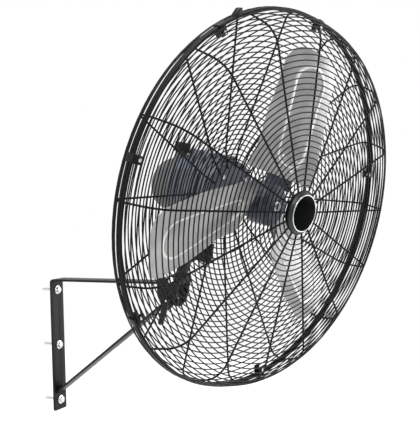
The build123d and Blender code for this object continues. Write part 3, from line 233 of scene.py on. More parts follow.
# %% [markdown]
# ## Finishes
# A fan like this is mostly coated steel. What tells its parts apart is how each was made:
# wire dipped and baked, flat bar powder coated, castings painted over their sand grain,
# blades pressed from mill aluminium and left bare, bolts zinc plated. They could each be a
# single colour with one roughness, but then a casting and a polished cap look alike. So
# every coat gets three things, at their real sizes: a slow drift of its colour, a gloss
# that changes with it, and a fine grain that catches the light. Pressed sheet gets one
# thing more: a painted highlight. Where a bead stands proud, a pale colour is painted on
# its crest in place of the bright line of light that it reflects, and an attribute of the
# mesh, named crest, says where that is.


# %% One coat: colour drift, uneven gloss, grain
DRIFT_STOPS = (0.35, 0.65)
DRIFT_DETAIL = 2.0
GRAIN_DETAIL = 3.0
NOISE_SPAN = (0.6, 1.4)
ROLLED = (0.06, 1, 1)


def coat(
    name, tones, drift_mm, gloss, grain_mm, grain_height_mm, metal=0.0, shine=0.5, painted_bead_highlight=None
):
    """A coat of two tones. One with a painted bead highlight reads the UV map, and a pale colour is
    painted on its crests as a highlight.
    """
    material = bpy.data.materials.new(name)
    tree = blank_tree(material)
    place = add_node(tree, "ShaderNodeTexCoord").outputs["UV" if painted_bead_highlight else "Object"]
    scale = {"Vector": place, "Scale": 1 / (drift_mm * MM), "Detail": DRIFT_DETAIL}
    drift = add_node(tree, "ShaderNodeTexNoise", scale)
    tone = add_node(tree, "ShaderNodeValToRGB", {"Fac": drift.outputs["Fac"]})
    for stop, position, colour in zip(tone.color_ramp.elements, DRIFT_STOPS, tones):
        stop.position = position
        stop.color = linear(colour)
    stretch = {"Vector": place, "Scale": ROLLED if painted_bead_highlight else (1, 1, 1)}
    drawn = add_node(tree, "ShaderNodeMapping", stretch)
    scale = {"Vector": drawn.outputs[0], "Scale": 1 / (grain_mm * MM), "Detail": GRAIN_DETAIL}
    grain = add_node(tree, "ShaderNodeTexNoise", scale)
    pair = {0: drift.outputs["Fac"], 1: grain.outputs["Fac"]}
    mixed = add_node(tree, "ShaderNodeMath", pair, operation="ADD")
    spread = {"Value": mixed.outputs[0], "From Min": NOISE_SPAN[0], "From Max": NOISE_SPAN[1]}
    spread.update({"To Min": gloss[0], "To Max": gloss[1]})
    rough = add_node(tree, "ShaderNodeMapRange", spread)
    dents = {"Height": grain.outputs["Fac"], "Distance": grain_height_mm * MM, "Strength": 1.0}
    bump = add_node(tree, "ShaderNodeBump", dents)
    colour, dullness = tone.outputs["Color"], rough.outputs[0]
    # Painted highlight: the pale colour is mixed in where the crest attribute is high, in place of
    # light reflected off the bead.
    if painted_bead_highlight:
        highlight_share = add_node(tree, "ShaderNodeAttribute", attribute_name="crest").outputs["Fac"]
        blend = {0: highlight_share, 6: colour, 7: linear(painted_bead_highlight)}
        colour = add_node(tree, "ShaderNodeMix", blend, data_type="RGBA").outputs[2]
    skin = {"Base Color": colour, "Roughness": dullness, "Normal": bump.outputs[0]}
    if not metal:
        skin["Specular IOR Level"] = shine
    shader = add_node(tree, "ShaderNodeBsdfPrincipled", {**skin, "Metallic": metal})
    add_node(tree, "ShaderNodeOutputMaterial", {"Surface": shader.outputs[0]})
    return material


# %% Coats of the wire, the bar and the castings
# After its two tones, a coat has its drift's size in mm, its least and most roughness, and
# its grain's size and height in mm. Bare metal is also metallic.
# Baked enamel on wire: dipped, so smooth and wet, with long soft highlights.
enamel = coat("baked_black_enamel", ("050506", "0B0B0D"), 40, (0.30, 0.42), 1.6, 0.008, shine=0.12)
# Powder coat on flat bar: an even satin skin with a fine orange peel, about 1 mm across.
powder = coat("black_powder_coat", ("0C0C0D", "141415"), 60, (0.38, 0.50), 1.1, 0.012, shine=0.16)
# Painted sand casting: thick paint that still shows the sand's grain.
casting = coat("painted_casting", ("0A0A0B", "131314"), 25, (0.45, 0.60), 1.8, 0.06, shine=0.18)
# Stamped steel fittings in the same black, thinner and a little shinier.
fitting = coat(
    "black_stoved_fitting", ("09090A", "101012"), 15, (0.32, 0.44), 1.0, 0.01, shine=0.18
)
print("coats so far:", len(bpy.data.materials) - 1)

# %% Coats of the motor
# Charcoal machine enamel, with a film of dust that dulls it in patches.
motor_enamel = coat(
    "charcoal_machine_enamel", ("464C57", "5C636F"), 30, (0.38, 0.52), 1.4, 0.02, shine=0.3
)
# The gear case, moulded in a dull plastic with a spark-eroded grain.
case_plastic = coat(
    "dull_moulded_case", ("525355", "666769"), 35, (0.42, 0.56), 0.9, 0.02, shine=0.35
)
# Steel box in a cool blue-grey coat.
box_coat = coat("blue_grey_coat", ("565C69", "6C7482"), 30, (0.32, 0.44), 1.2, 0.02, shine=0.4)
# Knob in soft black plastic.
knob_plastic = coat(
    "black_knob_plastic", ("0E0E0F", "161617"), 12, (0.42, 0.55), 0.7, 0.02, shine=0.25
)
# Varnished windings and stacked laminations, seen only through gaps.
copper = coat("varnished_copper", ("9A4F20", "C0703A"), 4, (0.28, 0.42), 1.0, 0.15, metal=1.0)
lamination = coat("stacked_lamination", ("4C4C4E", "666668"), 8, (0.42, 0.58), 0.8, 0.05, metal=1.0)
nylon = coat("white_nylon", ("CFCBBC", "E0DCCF"), 10, (0.42, 0.55), 1.5, 0.02)
print("coats so far:", len(bpy.data.materials) - 1)

# %% Bare metals
# Mill aluminium sheet: grey and satin, with faint lines along the way it was rolled. The
# real lines are finer than 0.1 mm and are drawn 1.5 mm wide here, so that they show. They
# follow the blade, so this coat reads the blade's UV map, which is laid out in metres.
rolled_tones = ("959595", "A9A9A8")
# Its bead crests get a painted highlight, F2F2F0, in place of the light that they reflect.
mill_sheet = coat(
    "mill_aluminium", rolled_tones, 55, (0.26, 0.40), 1.5, 0.006, metal=1.0, painted_bead_highlight="F2F2F0"
)
# Bright zinc plate: pale and slightly blue, softly mirror-like, with small dull spots.
zinc = coat("zinc_plate", ("B4B6B8", "D6D8DA"), 3, (0.22, 0.38), 0.8, 0.01, metal=1.0)
# Pins and shafts, ground bright.
ground_steel = coat("ground_steel", ("8E8E90", "A6A6A8"), 6, (0.18, 0.32), 0.8, 0.005, metal=1.0)
# Die casting under a thin dark coat, where metal shows at rubbed edges.
dark_hub = coat("dark_die_casting", ("2C313B", "464D5B"), 12, (0.34, 0.50), 1.2, 0.03, metal=0.5)
# Polished injection moulding of the cap: nearly a black mirror.
gloss_plastic = coat(
    "gloss_black_plastic", ("020303", "040505"), 20, (0.08, 0.16), 6.0, 0.002, shine=0.012
)
# Soft bevel ring round it: the same plastic, left dull from the mould.
bezel_plastic = coat(
    "satin_black_plastic", ("0E0F10", "17191B"), 15, (0.28, 0.40), 1.0, 0.01, shine=0.3
)
# The narrow ring between the two: plastic plated in satin chrome.
trim_chrome = coat(
    "satin_chrome_trim", ("A9B0AE", "C4CAC8"), 10, (0.22, 0.32), 1.0, 0.002, metal=1.0
)
print("finishes in all:", len(bpy.data.materials) - 1)

# %% [markdown]
# ## Dressing a machined piece
# A piece of the frame comes as loose triangles with knife-sharp edges. Real bar, castings
# and sheet have small rounded edges, and it is these that catch the light. So a copy of
# the mesh is merged, its flat faces are joined up again, and a narrow bevel is run along
# the sharp edges. The copy takes over from the frame's own piece.

# %% A helper that dresses one node
SMOOTH_UP_TO = radians(35)
SHARP_FROM = radians(32)
FLAT_WITHIN = radians(0.6)
SAME_POINT = 0.002 * MM
BODY_OF = {}
for body_name, node_names in frame["record"]["behaviour"]["bodies"].items():
    for node_name in node_names:
        BODY_OF[node_name] = body_name
SLOT_OF = {row["node"]: row["material_slot"] for row in frame["record"]["subparts"]}


def adopt(name, mesh, body, slot, *nodes):
    """Put a finished mesh in the scene on its body, standing for these nodes."""
    piece = in_scene(name, mesh)
    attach(piece, body)
    if nodes:
        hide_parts(*nodes)
    return piece


def soften(form, edge_mm, segments=2):
    """Run a narrow rounded bevel along the sharp edges of a solid."""
    solid_edges = [edge for edge in form.edges if len(edge.link_faces) == 2]
    bmesh.ops.bevel(
        form,
        geom=[edge for edge in solid_edges if edge.calc_face_angle(0) > SHARP_FROM],
        offset=edge_mm * MM,
        segments=segments,
        profile=0.5,
        affect="EDGES",
        clamp_overlap=True,
    )


def shaded(mesh, material):
    """Give a mesh its one material, smooth but for its sharp edges."""
    mesh.materials.clear()
    mesh.materials.append(material)
    mesh.shade_smooth()
    mesh.set_sharp_from_angle(angle=SMOOTH_UP_TO)


def bridge(form, one, other):
    """Faces between two closed rings of points."""
    for k in range(len(one)):
        after = (k + 1) % len(one)
        form.faces.new((one[k], one[after], other[after], other[k]))


def mesh_of(form, name, material, place=None):
    """A finished form as a mesh, in its place and with its material."""
    mesh = bpy.data.meshes.new(name)
    form.to_mesh(mesh)
    form.free()
    if place is not None:
        mesh.transform(place)
    shaded(mesh, material)
    return mesh


def dressed(node, material, edge_mm, segments=2):
    """A merged and softened copy of a node, standing for it."""
    mesh = frame["nodes"][node].data.copy()
    mesh.name = node + "_dressed"
    form = bmesh.new()
    form.from_mesh(mesh)
    bmesh.ops.remove_doubles(form, verts=form.verts, dist=SAME_POINT)
    bmesh.ops.dissolve_limit(form, angle_limit=FLAT_WITHIN, verts=form.verts, edges=form.edges)
    soften(form, edge_mm, segments)
    form.to_mesh(mesh)
    form.free()
    shaded(mesh, material)
    return adopt(node + "_dressed", mesh, BODY_OF[node], SLOT_OF[node], node)


def dress_all(*rows):
    """Dress several nodes. Each row has a node, its material, its edge in mm, and segments."""
    pieces = [dressed(*row) for row in rows]
    print("faces:", {piece.name: len(piece.data.polygons) for piece in pieces})


counts = {body: len(names) for body, names in frame["record"]["behaviour"]["bodies"].items()}
print("nodes on each body:", counts)

# %% [markdown]
# ## The wall bracket
# A flat bar bent once makes the leg and the arm, and a second bar is welded in as a brace.
# Both are cut from stock and powder coated, so their edges are only just broken. The
# bracket's bolts are zinc plated, which makes them the brightest things on the wall.

# %% Bar, brace and bolts
dress_all(
    ("wall_bracket", powder, 0.7, 3),
    ("wall_bolts", zinc, 0.5),
    ("wall_washers", zinc, 0.25),
)

# %% [markdown]
# ## The brace at the photograph's slope
# The frame's brace meets the arm from below, at 42 degrees. In the photograph it is
# shallower, about 36 degrees, and runs in between the cheeks of the clamp, where its sides
# are welded. It is a length of narrower bar of the same thickness, so four points seen
# from the side are enough, and they are pushed out to both sides.

# %% Brace as a prism
BAR_T = 5.0 * MM
BRACE_HALF = 16.5 * MM
BRACE_FOOT = -111.0 * MM
BRACE_END = Vector((-318.0, 120.6)) * MM
BRACE_EDGE = 0.6
brace_start = Vector((-BAR_T, BRACE_FOOT))
brace_way = (BRACE_END - brace_start).normalized()
under = Vector((brace_way.y, -brace_way.x)) * -BAR_T
brace_low = brace_start + Vector((0, under.y - under.x * brace_way.y / brace_way.x))


def prism(name, outline, half, edge_mm, material):
    """A solid of constant section: an outline in y and z, pushed out to both sides."""
    form = bmesh.new()
    ends = [[form.verts.new((x, *point)) for point in outline] for x in (-half, half)]
    for ring in ends:
        form.faces.new(ring)
    bridge(form, *ends)
    bmesh.ops.recalc_face_normals(form, faces=form.faces)
    soften(form, edge_mm)
    return mesh_of(form, name, material)


outline = [brace_start, BRACE_END, BRACE_END + under, brace_low]
brace_mesh = prism("brace_bar", outline, BRACE_HALF, BRACE_EDGE, powder)
adopt("brace_bar", brace_mesh, "bracket", "bar", "brace_strut")
print("brace:", round(degrees(atan2(brace_way.y, -brace_way.x)), 1), "degrees from level")

# %% [markdown]
# ## Weld beads
# The brace is joined to the leg and to the clamp's cheeks by fillet welds along its edges. A
# weld is a row of overlapping drops, each a little further on. It could be a tube with a
# noisy skin, but that hides the single drops, so a small tree lays balls of slightly
# different size along a line at a fixed step. Two points give it each line.


# %% A tree that lays drops along a line
def group(name, *sockets):
    """An empty node group with a geometry socket at each end and these named inputs."""
    tree = bpy.data.node_groups.new(name, "GeometryNodeTree")
    tree.interface.new_socket("Geometry", in_out="OUTPUT", socket_type="NodeSocketGeometry")
    tree.interface.new_socket("Geometry", in_out="INPUT", socket_type="NodeSocketGeometry")
    for label, kind in sockets:
        tree.interface.new_socket(label, in_out="INPUT", socket_type="NodeSocket" + kind)
    return tree


def run_tree(name, mesh, tree, values, place=None):
    """Run a tree on a start mesh, with values for its named inputs, and keep the mesh."""
    maker = in_scene(name + "_maker", mesh)
    modifier = maker.modifiers.new("make", "NODES")
    modifier.node_group = tree
    for item in tree.interface.items_tree:
        if item.item_type == "SOCKET" and item.in_out == "INPUT" and item.name in values:
            modifier[item.identifier] = values[item.name]
    depsgraph = bpy.context.evaluated_depsgraph_get()
    result = bpy.data.meshes.new_from_object(maker.evaluated_get(depsgraph), depsgraph=depsgraph)
    result.name = name
    bpy.data.objects.remove(maker)
    if place is not None:
        result.transform(place)
    return result


def end_tree(tree, shape, finish):
    """Close a tree: make its instances real and smooth, and set their material."""
    real = add_node(tree, "GeometryNodeRealizeInstances", {"Geometry": shape})
    smooth = add_node(tree, "GeometryNodeSetShadeSmooth", {"Geometry": real.outputs[0]})
    painted = {"Geometry": smooth.outputs[0], "Material": finish}
    coated = add_node(tree, "GeometryNodeSetMaterial", painted)
    add_node(tree, "NodeGroupOutput", {"Geometry": coated.outputs[0]})


DROP_SPREAD = {"Min": 0.86, "Max": 1.12}
sockets = [("Step", "Float"), ("Drop radius", "Float"), ("Seed", "Int")]
weld_tree = group("weld_drops", *sockets, ("Finish", "Material"))
start = add_node(weld_tree, "NodeGroupInput")
line = add_node(weld_tree, "GeometryNodeMeshToCurve", {"Mesh": start.outputs["Geometry"]})
drops = {"Curve": line.outputs[0], "Length": start.outputs["Step"]}
spots = add_node(weld_tree, "GeometryNodeCurveToPoints", drops, mode="LENGTH")
ball = {"Radius": start.outputs["Drop radius"], "Subdivisions": 2}
drop = add_node(weld_tree, "GeometryNodeMeshIcoSphere", ball)
wobble = {**DROP_SPREAD, "Seed": start.outputs["Seed"]}
size = add_node(weld_tree, "FunctionNodeRandomValue", wobble, data_type="FLOAT")
row = {"Points": spots.outputs["Points"], "Instance": drop.outputs["Mesh"]}
row["Scale"] = size.outputs["Value"]
laid = add_node(weld_tree, "GeometryNodeInstanceOnPoints", row)
end_tree(weld_tree, laid.outputs[0], start.outputs["Finish"])
print("weld tree nodes:", len(weld_tree.nodes))

# %% Lay the welds at both ends of the brace
WELD_STEP = 2.2 * MM
WELD_DROP = 1.6 * MM
WELD_SEED = 4
CHEEK_START = -307.5 * MM
cheek_in = brace_start + brace_way * ((CHEEK_START - brace_start.x) / brace_way.x)
weld_lines = [
    ((-BRACE_HALF, *brace_start), (BRACE_HALF, *brace_start)),
    ((-BRACE_HALF, *brace_low), (BRACE_HALF, *brace_low)),
    ((-BRACE_HALF, *(cheek_in + under)), (-BRACE_HALF, *(BRACE_END + under))),
    ((BRACE_HALF, *(cheek_in + under)), (BRACE_HALF, *(BRACE_END + under))),
]
weld_start = bpy.data.meshes.new("weld_lines")
ends = [point for line_ends in weld_lines for point in line_ends]
weld_start.from_pydata(ends, [(2 * k, 2 * k + 1) for k in range(len(weld_lines))], [])
values = {"Step": WELD_STEP, "Drop radius": WELD_DROP, "Seed": WELD_SEED, "Finish": powder}
weld_mesh = run_tree("brace_welds", weld_start, weld_tree, values)
adopt("brace_welds", weld_mesh, "bracket", "bar")
print("weld drops make", len(weld_mesh.polygons), "faces")

# %% [markdown]
# ## Clamp, neck and their fastenings
# The casting that grips the arm's end is cast iron, and so is the neck that stands in it.
# Cast edges are rounder than cut ones, so their bevels are wider. The bolts through them
# keep the zinc look, because they are fitted after painting.

# %% Dress the clamp and the neck
dress_all(
    ("clamp_casting", casting, 0.9),
    ("clamp_screws", zinc, 0.3),
    ("clamp_nuts", zinc, 0.3),
    ("tilt_bolt", zinc, 0.5),
    ("tilt_nut", zinc, 0.5),
    ("lock_bolt", zinc, 0.5),
    ("lock_lever", fitting, 1.2, 3),
    ("tilt_neck", casting, 0.8),
    ("tilt_quadrant", fitting, 0.5),
)

# %% [markdown]
# ## The motor and its gear case
# The motor is a drawn shell between two bells, with a moulded case over the gears behind
# it and a steel box for the wiring on top. All are made by machines that leave even, soft
# edges. What is inside, such as windings and bearings, is only seen in slits: it keeps
# the frame's own pieces, which get a finish and nothing more.

# %% Dress the motor
dress_all(
    ("motor_saddle", casting, 0.9),
    ("pan_pin", ground_steel, 0.4),
    ("pan_nut", zinc, 0.5),
    ("front_bell", motor_enamel, 0.8),
    ("motor_shell", motor_enamel, 0.4),
    ("rear_bell", motor_enamel, 0.6),
    ("gear_cover", case_plastic, 0.6),
    ("wiring_box", box_coat, 0.7),
    ("box_lid", box_coat, 0.6),
    ("cord_gland", nylon, 0.3),
    ("clutch_knob", knob_plastic, 0.9, 3),
    ("gear_spindle", ground_steel, 0.4),
    ("crank", fitting, 0.5),
    ("crank_pin", ground_steel, 0.3),
    ("link_arm", fitting, 0.5),
)

# %% Finish the pieces inside
INSIDE = [
    (lamination, ["stator_core", "rotor_core"]),
    (copper, ["stator_windings"]),
    (ground_steel, ["front_bearing", "rear_bearing", "thrust_washer", "worm", "motor_shaft"]),
    (nylon, ["worm_wheel"]),
    (zinc, ["cap_screws", "guard_plate_screws", "lid_screws"]),
]
for material, nodes in INSIDE:
    for node in nodes:
        for material_slot in frame["nodes"][node].material_slots:
            material_slot.material = material
print("pieces inside:", sum(len(nodes) for material, nodes in INSIDE))

# %% [markdown]
# ## The wire guards
# Each guard is a basket: one thick edge wire, 16 ribs bent to the basket's outline, and
# concentric wires about 11 mm apart, welded onto the outside of the ribs. The basket is a
# rule more than a shape, so it is made by a rule. The start mesh holds two lines in the
# plane of one rib: the rib itself, and the same line moved outward by half a rib and half
# a wire. The tree repeats the first one round the axis. Along the second one it sets a
# point for each wire, and turns every point into a ring. At the rear guard's rim two wires
# sit closer together than that step, so they are points of their own in the start mesh.

# %% Outline of a guard
RIM_R = 390.0
EDGE_WIRE = 6.5
RING_WIRE = 2.6
RIB_WIRE = 4.0
RIBS = 16
RIB_PHASE = 2.2
RING_PITCH = 11.02
WELD_BITE = 0.3
RING_SEAT = (RIB_WIRE + RING_WIRE) / 2 - WELD_BITE
# Corners are radius and forward distance from the plane between the two edge wires.
EDGE_Z = EDGE_WIRE / 2
FRONT_SHOULDER = (363.3, 66.4)
FRONT_TIP = (40.0, 89.2)
FRONT_BEND = 54.0
REAR_RIM = (RIM_R, -23.0)
REAR_CORNER = (101.0, -97.5)
REAR_TIP = (60.0, -97.5)
REAR_BENDS = [22.0, 17.0]
LINE_STEP = 2.5


def rounded_line(corners, bends, step=LINE_STEP):
    """Points along a line through corners, each inner corner rounded to its radius, in mm."""
    points = [Vector(corners[0])]
    for before, corner, after, bend in zip(corners, corners[1:], corners[2:], bends):
        before, corner, after = Vector(before), Vector(corner), Vector(after)
        way_in, way_out = (before - corner).normalized(), (after - corner).normalized()
        half = way_in.angle(way_out) / 2
        reach = bend / tan(half)
        middle = corner + (way_in + way_out).normalized() * (bend / sin(half))
        first, last = corner + way_in * reach - middle, corner + way_out * reach - middle
        sweep = first.angle_signed(last)
        count = max(3, ceil(abs(sweep) * bend / step))
        for k in range(count + 1):
            part = Matrix.Rotation(-sweep * k / count, 2)
            points.append(middle + part @ first)
    points.append(Vector(corners[-1]))
    return points


def line_length(points):
    """Length of a line through points."""
    return sum((b - a).length for a, b in zip(points, points[1:]))


def moved_out(points, distance):
    """The same line, moved sideways by the distance."""
    moved = []
    for k, point in enumerate(points):
        along = (points[min(k + 1, len(points) - 1)] - points[max(k - 1, 0)]).normalized()
        moved.append(point + Vector((-along.y, along.x)) * distance)
    return moved


front_line = rounded_line([(RIM_R, EDGE_Z), FRONT_SHOULDER, FRONT_TIP], [FRONT_BEND])
rear_line = rounded_line([(RIM_R, -EDGE_Z), REAR_RIM, REAR_CORNER, REAR_TIP], REAR_BENDS)
lengths = [round(line_length(line), 1) for line in (front_line, rear_line)]
print("rib lengths, front and rear:", lengths, "mm")

# %% The basket tree
WIRE_SIDES = 8
RING_STEPS = 96
EDGE_SIDES = 12
EDGE_STEPS = 160


def swept(tree, line, sides, radius, caps=False):
    """Sweep a round section along a curve, and return the wire."""
    size = {"Resolution": sides, "Radius": radius}
    section = add_node(tree, "GeometryNodeCurvePrimitiveCircle", size)
    sweep = {"Curve": line, "Profile Curve": section.outputs[0], "Fill Caps": caps}
    return add_node(tree, "GeometryNodeCurveToMesh", sweep).outputs[0]


sizes = ("Rib phase", "Rib radius", "Ring radius", "Ring pitch", "Edge radius")
sockets = [("Ribs", "Int"), *((name, "Float") for name in sizes)]
basket = group("wire_basket", *sockets, ("Edge place", "Vector"), ("Finish", "Material"))
start = add_node(basket, "NodeGroupInput")
mark = {"Name": "ring_line"}
is_ring = add_node(basket, "GeometryNodeInputNamedAttribute", mark, data_type="BOOLEAN")
lines = {"Geometry": start.outputs["Geometry"], "Selection": is_ring.outputs["Attribute"]}
split = add_node(basket, "GeometryNodeSeparateGeometry", lines, domain="POINT")

rib_line = add_node(basket, "GeometryNodeMeshToCurve", {"Mesh": split.outputs["Inverted"]})
rib = swept(basket, rib_line.outputs[0], WIRE_SIDES, start.outputs["Rib radius"], True)
place = {"Count": start.outputs["Ribs"], "Offset": (0, 0, 0)}
places = add_node(basket, "GeometryNodeMeshLine", place, mode="OFFSET")
number = add_node(basket, "GeometryNodeInputIndex")
part = {0: 2 * pi, 1: start.outputs["Ribs"]}
step = add_node(basket, "ShaderNodeMath", part, operation="DIVIDE")
fan_out = {0: number.outputs[0], 1: step.outputs[0], 2: start.outputs["Rib phase"]}
angle = add_node(basket, "ShaderNodeMath", fan_out, operation="MULTIPLY_ADD")
spin = add_node(basket, "ShaderNodeCombineXYZ", {"Z": angle.outputs[0]})
turn = add_node(basket, "FunctionNodeEulerToRotation", {"Euler": spin.outputs[0]})
wheel = {"Points": places.outputs[0], "Instance": rib, "Rotation": turn.outputs[0]}
ribs = add_node(basket, "GeometryNodeInstanceOnPoints", wheel)
print("basket tree, ribs:", len(basket.nodes), "nodes")

# %% The basket tree, rings
ring_line = add_node(basket, "GeometryNodeMeshToCurve", {"Mesh": split.outputs["Selection"]})
walk = {"Curve": ring_line.outputs[0], "Length": start.outputs["Ring pitch"]}
walked = add_node(basket, "GeometryNodeCurveToPoints", walk, mode="LENGTH")
mark = {"Name": "close_row"}
is_row = add_node(basket, "GeometryNodeInputNamedAttribute", mark, data_type="BOOLEAN")
close = {"Mesh": start.outputs["Geometry"], "Selection": is_row.outputs["Attribute"]}
close_rows = add_node(basket, "GeometryNodeMeshToPoints", close)
spots = add_node(basket, "GeometryNodeJoinGeometry")
for points in (walked.outputs["Points"], close_rows.outputs[0]):
    basket.links.new(points, spots.inputs[0])
here = add_node(basket, "GeometryNodeInputPosition")
parts = add_node(basket, "ShaderNodeSeparateXYZ", {"Vector": here.outputs[0]})
on_axis = add_node(basket, "ShaderNodeCombineXYZ", {"Z": parts.outputs["Z"]})
keep = {"Geometry": spots.outputs[0], "Name": "reach", "Value": parts.outputs["X"]}
stored = "GeometryNodeStoreNamedAttribute"
kept = add_node(basket, stored, keep, data_type="FLOAT", domain="POINT")
centred = {"Geometry": kept.outputs[0], "Position": on_axis.outputs[0]}
centres = add_node(basket, "GeometryNodeSetPosition", centred)
unit_ring = {"Resolution": RING_STEPS, "Radius": 1.0}
circle = add_node(basket, "GeometryNodeCurvePrimitiveCircle", unit_ring)
mark = {"Name": "reach"}
reach = add_node(basket, "GeometryNodeInputNamedAttribute", mark, data_type="FLOAT")
wide = {"X": reach.outputs["Attribute"], "Y": reach.outputs["Attribute"], "Z": 1.0}
grow = add_node(basket, "ShaderNodeCombineXYZ", wide)
set_out = {"Points": centres.outputs[0], "Instance": circle.outputs[0], "Scale": grow.outputs[0]}
rings = add_node(basket, "GeometryNodeInstanceOnPoints", set_out)
loops = add_node(basket, "GeometryNodeRealizeInstances", {"Geometry": rings.outputs[0]})
same_wire = {"Curve": loops.outputs[0], "Radius": 1.0}
even = add_node(basket, "GeometryNodeSetCurveRadius", same_wire)
wires = swept(basket, even.outputs[0], WIRE_SIDES, start.outputs["Ring radius"])
print("basket tree, rings too:", len(basket.nodes), "nodes")

# %% The basket tree, edge wire and finish
edge_parts = add_node(basket, "ShaderNodeSeparateXYZ", {"Vector": start.outputs["Edge place"]})
edge_loop = {"Resolution": EDGE_STEPS, "Radius": edge_parts.outputs["X"]}
edge_circle = add_node(basket, "GeometryNodeCurvePrimitiveCircle", edge_loop)
edge_at = add_node(basket, "ShaderNodeCombineXYZ", {"Z": edge_parts.outputs["Z"]})
lifted = {"Geometry": edge_circle.outputs[0], "Translation": edge_at.outputs[0]}
edge_line = add_node(basket, "GeometryNodeTransform", lifted)
edge = swept(basket, edge_line.outputs[0], EDGE_SIDES, start.outputs["Edge radius"])
joined = add_node(basket, "GeometryNodeJoinGeometry")
for piece in (ribs.outputs[0], wires, edge):
    basket.links.new(piece, joined.inputs[0])
end_tree(basket, joined.outputs[0], start.outputs["Finish"])
print("basket tree in all:", len(basket.nodes), "nodes")


# %% Weave both guards
FRONT_FIRST_RING = 10.4
REAR_FIRST_RING = 19.0
FRONT_BARE_END = 4.0
REAR_BARE_END = 16.0
REAR_CLOSE_ROWS = [6.2, 12.4]


def point_at(points, distance):
    """The point at a distance along a line, in mm."""
    walked = 0.0
    for a, b in zip(points, points[1:]):
        span = (b - a).length
        if walked <= distance < walked + span:
            return a + (b - a) * (distance - walked) / span
        walked += span


def stretch_of(points, start_at, stop_at):
    """The part of a line between two distances along it, in mm."""
    kept, walked = [point_at(points, start_at)], 0.0
    for a, b in zip(points, points[1:]):
        walked += (b - a).length
        if start_at < walked < stop_at:
            kept.append(b)
    return kept + [point_at(points, stop_at)]


def guard_mesh(name, rib_points, side, first_ring, bare_end, close_rows):
    """One guard, on the front side (1) or the rear side (-1) of the plane of the rim."""
    seats = moved_out(rib_points, -side * RING_SEAT)
    outer = stretch_of(seats, first_ring, line_length(seats) - bare_end)
    rows = [point_at(seats, along) for along in close_rows]
    mesh = bpy.data.meshes.new(name + "_lines")
    points = [(p.x * MM, 0, p.y * MM) for p in rib_points + outer + rows]
    first = len(rib_points)
    last = first + len(outer)
    edges = [(k, k + 1) for k in range(first - 1)]
    edges += [(k, k + 1) for k in range(first, last - 1)]
    mesh.from_pydata(points, edges, [])
    on_line = mesh.attributes.new("ring_line", "BOOLEAN", "POINT")
    alone = mesh.attributes.new("close_row", "BOOLEAN", "POINT")
    for k in range(first, len(points)):
        on_line.data[k].value = k < last
        alone.data[k].value = k >= last
    values = {
        "Ribs": RIBS,
        "Rib phase": radians(RIB_PHASE),
        "Rib radius": RIB_WIRE / 2 * MM,
        "Ring radius": RING_WIRE / 2 * MM,
        "Ring pitch": RING_PITCH * MM,
        "Edge radius": EDGE_WIRE / 2 * MM,
        "Edge place": (RIM_R * MM, 0, side * EDGE_Z * MM),
        "Finish": enamel,
    }
    return run_tree(name, mesh, basket, values, rim_frame)


front_rule = (1, FRONT_FIRST_RING, FRONT_BARE_END, [])
rear_rule = (-1, REAR_FIRST_RING, REAR_BARE_END, REAR_CLOSE_ROWS)
front_mesh = guard_mesh("front_guard_wires", front_line, *front_rule)
rear_mesh = guard_mesh("rear_guard_wires", rear_line, *rear_rule)
adopt("front_guard_wires", front_mesh, "fan_head", "wire", "front_guard")
adopt("rear_guard_wires", rear_mesh, "fan_head", "wire", "rear_guard")
print("guard faces:", len(front_mesh.polygons), len(rear_mesh.polygons))

# %% [markdown]
# ## Pressed blades
# Each blade is one sheet of aluminium, twisted so that its root bites the air more steeply
# than its tip, bellied across its width, and stiffened by a raised bead that runs round it
# in a closed loop. It could be sculpted, or cut from the frame's plain blade. But every
# one of these features is a height above a flat sheet, so it is simpler to lay a grid over
# the outline and give each point its height. The bead is then only a distance: how far
# the point is from the loop. In the photograph the blades widen past the hub's arms, and
# lie flatter there, than the frame's do, so the numbers below say so.

# %% The blade's sheet as numbers
BLADES = 3
BLADE_PHASE = 77.2
BLADE_MID = 3.0
BLADE_W = 130.0
BLADE_SPREAD = 1.11
SPREAD_FROM = 110.0
SPREAD_TO = 200.0
BLADE_T = 2.0
CAMBER = 7.0
ROOT_R = 62.0
TIP_R = 331.0
TIP_ROUND = 36.0
STATIONS = [(62.0, -11.3, 30.0), (110.0, -15.0, 27.2), (215.0, -5.5, 14.5), (345.0, 5.0, 9.5)]
BEAD_ROOT = (114.0, 26.0)
BEAD_TIP = (262.0, 38.0)
BEAD_W = 9.0
BEAD_RISE = 2.2
BEAD_FULLNESS = 0.8
CREST_POWER = 3


def chord_at(x):
    """Sideways place of the chord's middle, and the sheet's slope, at this reach."""
    for near, far in zip(STATIONS, STATIONS[1:]):
        if x <= far[0] or far is STATIONS[-1]:
            share = (x - near[0]) / (far[0] - near[0])
            slope = tan(radians(near[2])) * (1 - share) + tan(radians(far[2])) * share
            return near[1] + (far[1] - near[1]) * share, slope


def spread_at(x):
    """How much wider than its root the sheet is at this reach."""
    share = min(1, max(0, (x - SPREAD_FROM) / (SPREAD_TO - SPREAD_FROM)))
    return 1 + (BLADE_SPREAD - 1) * share * share * (3 - 2 * share)


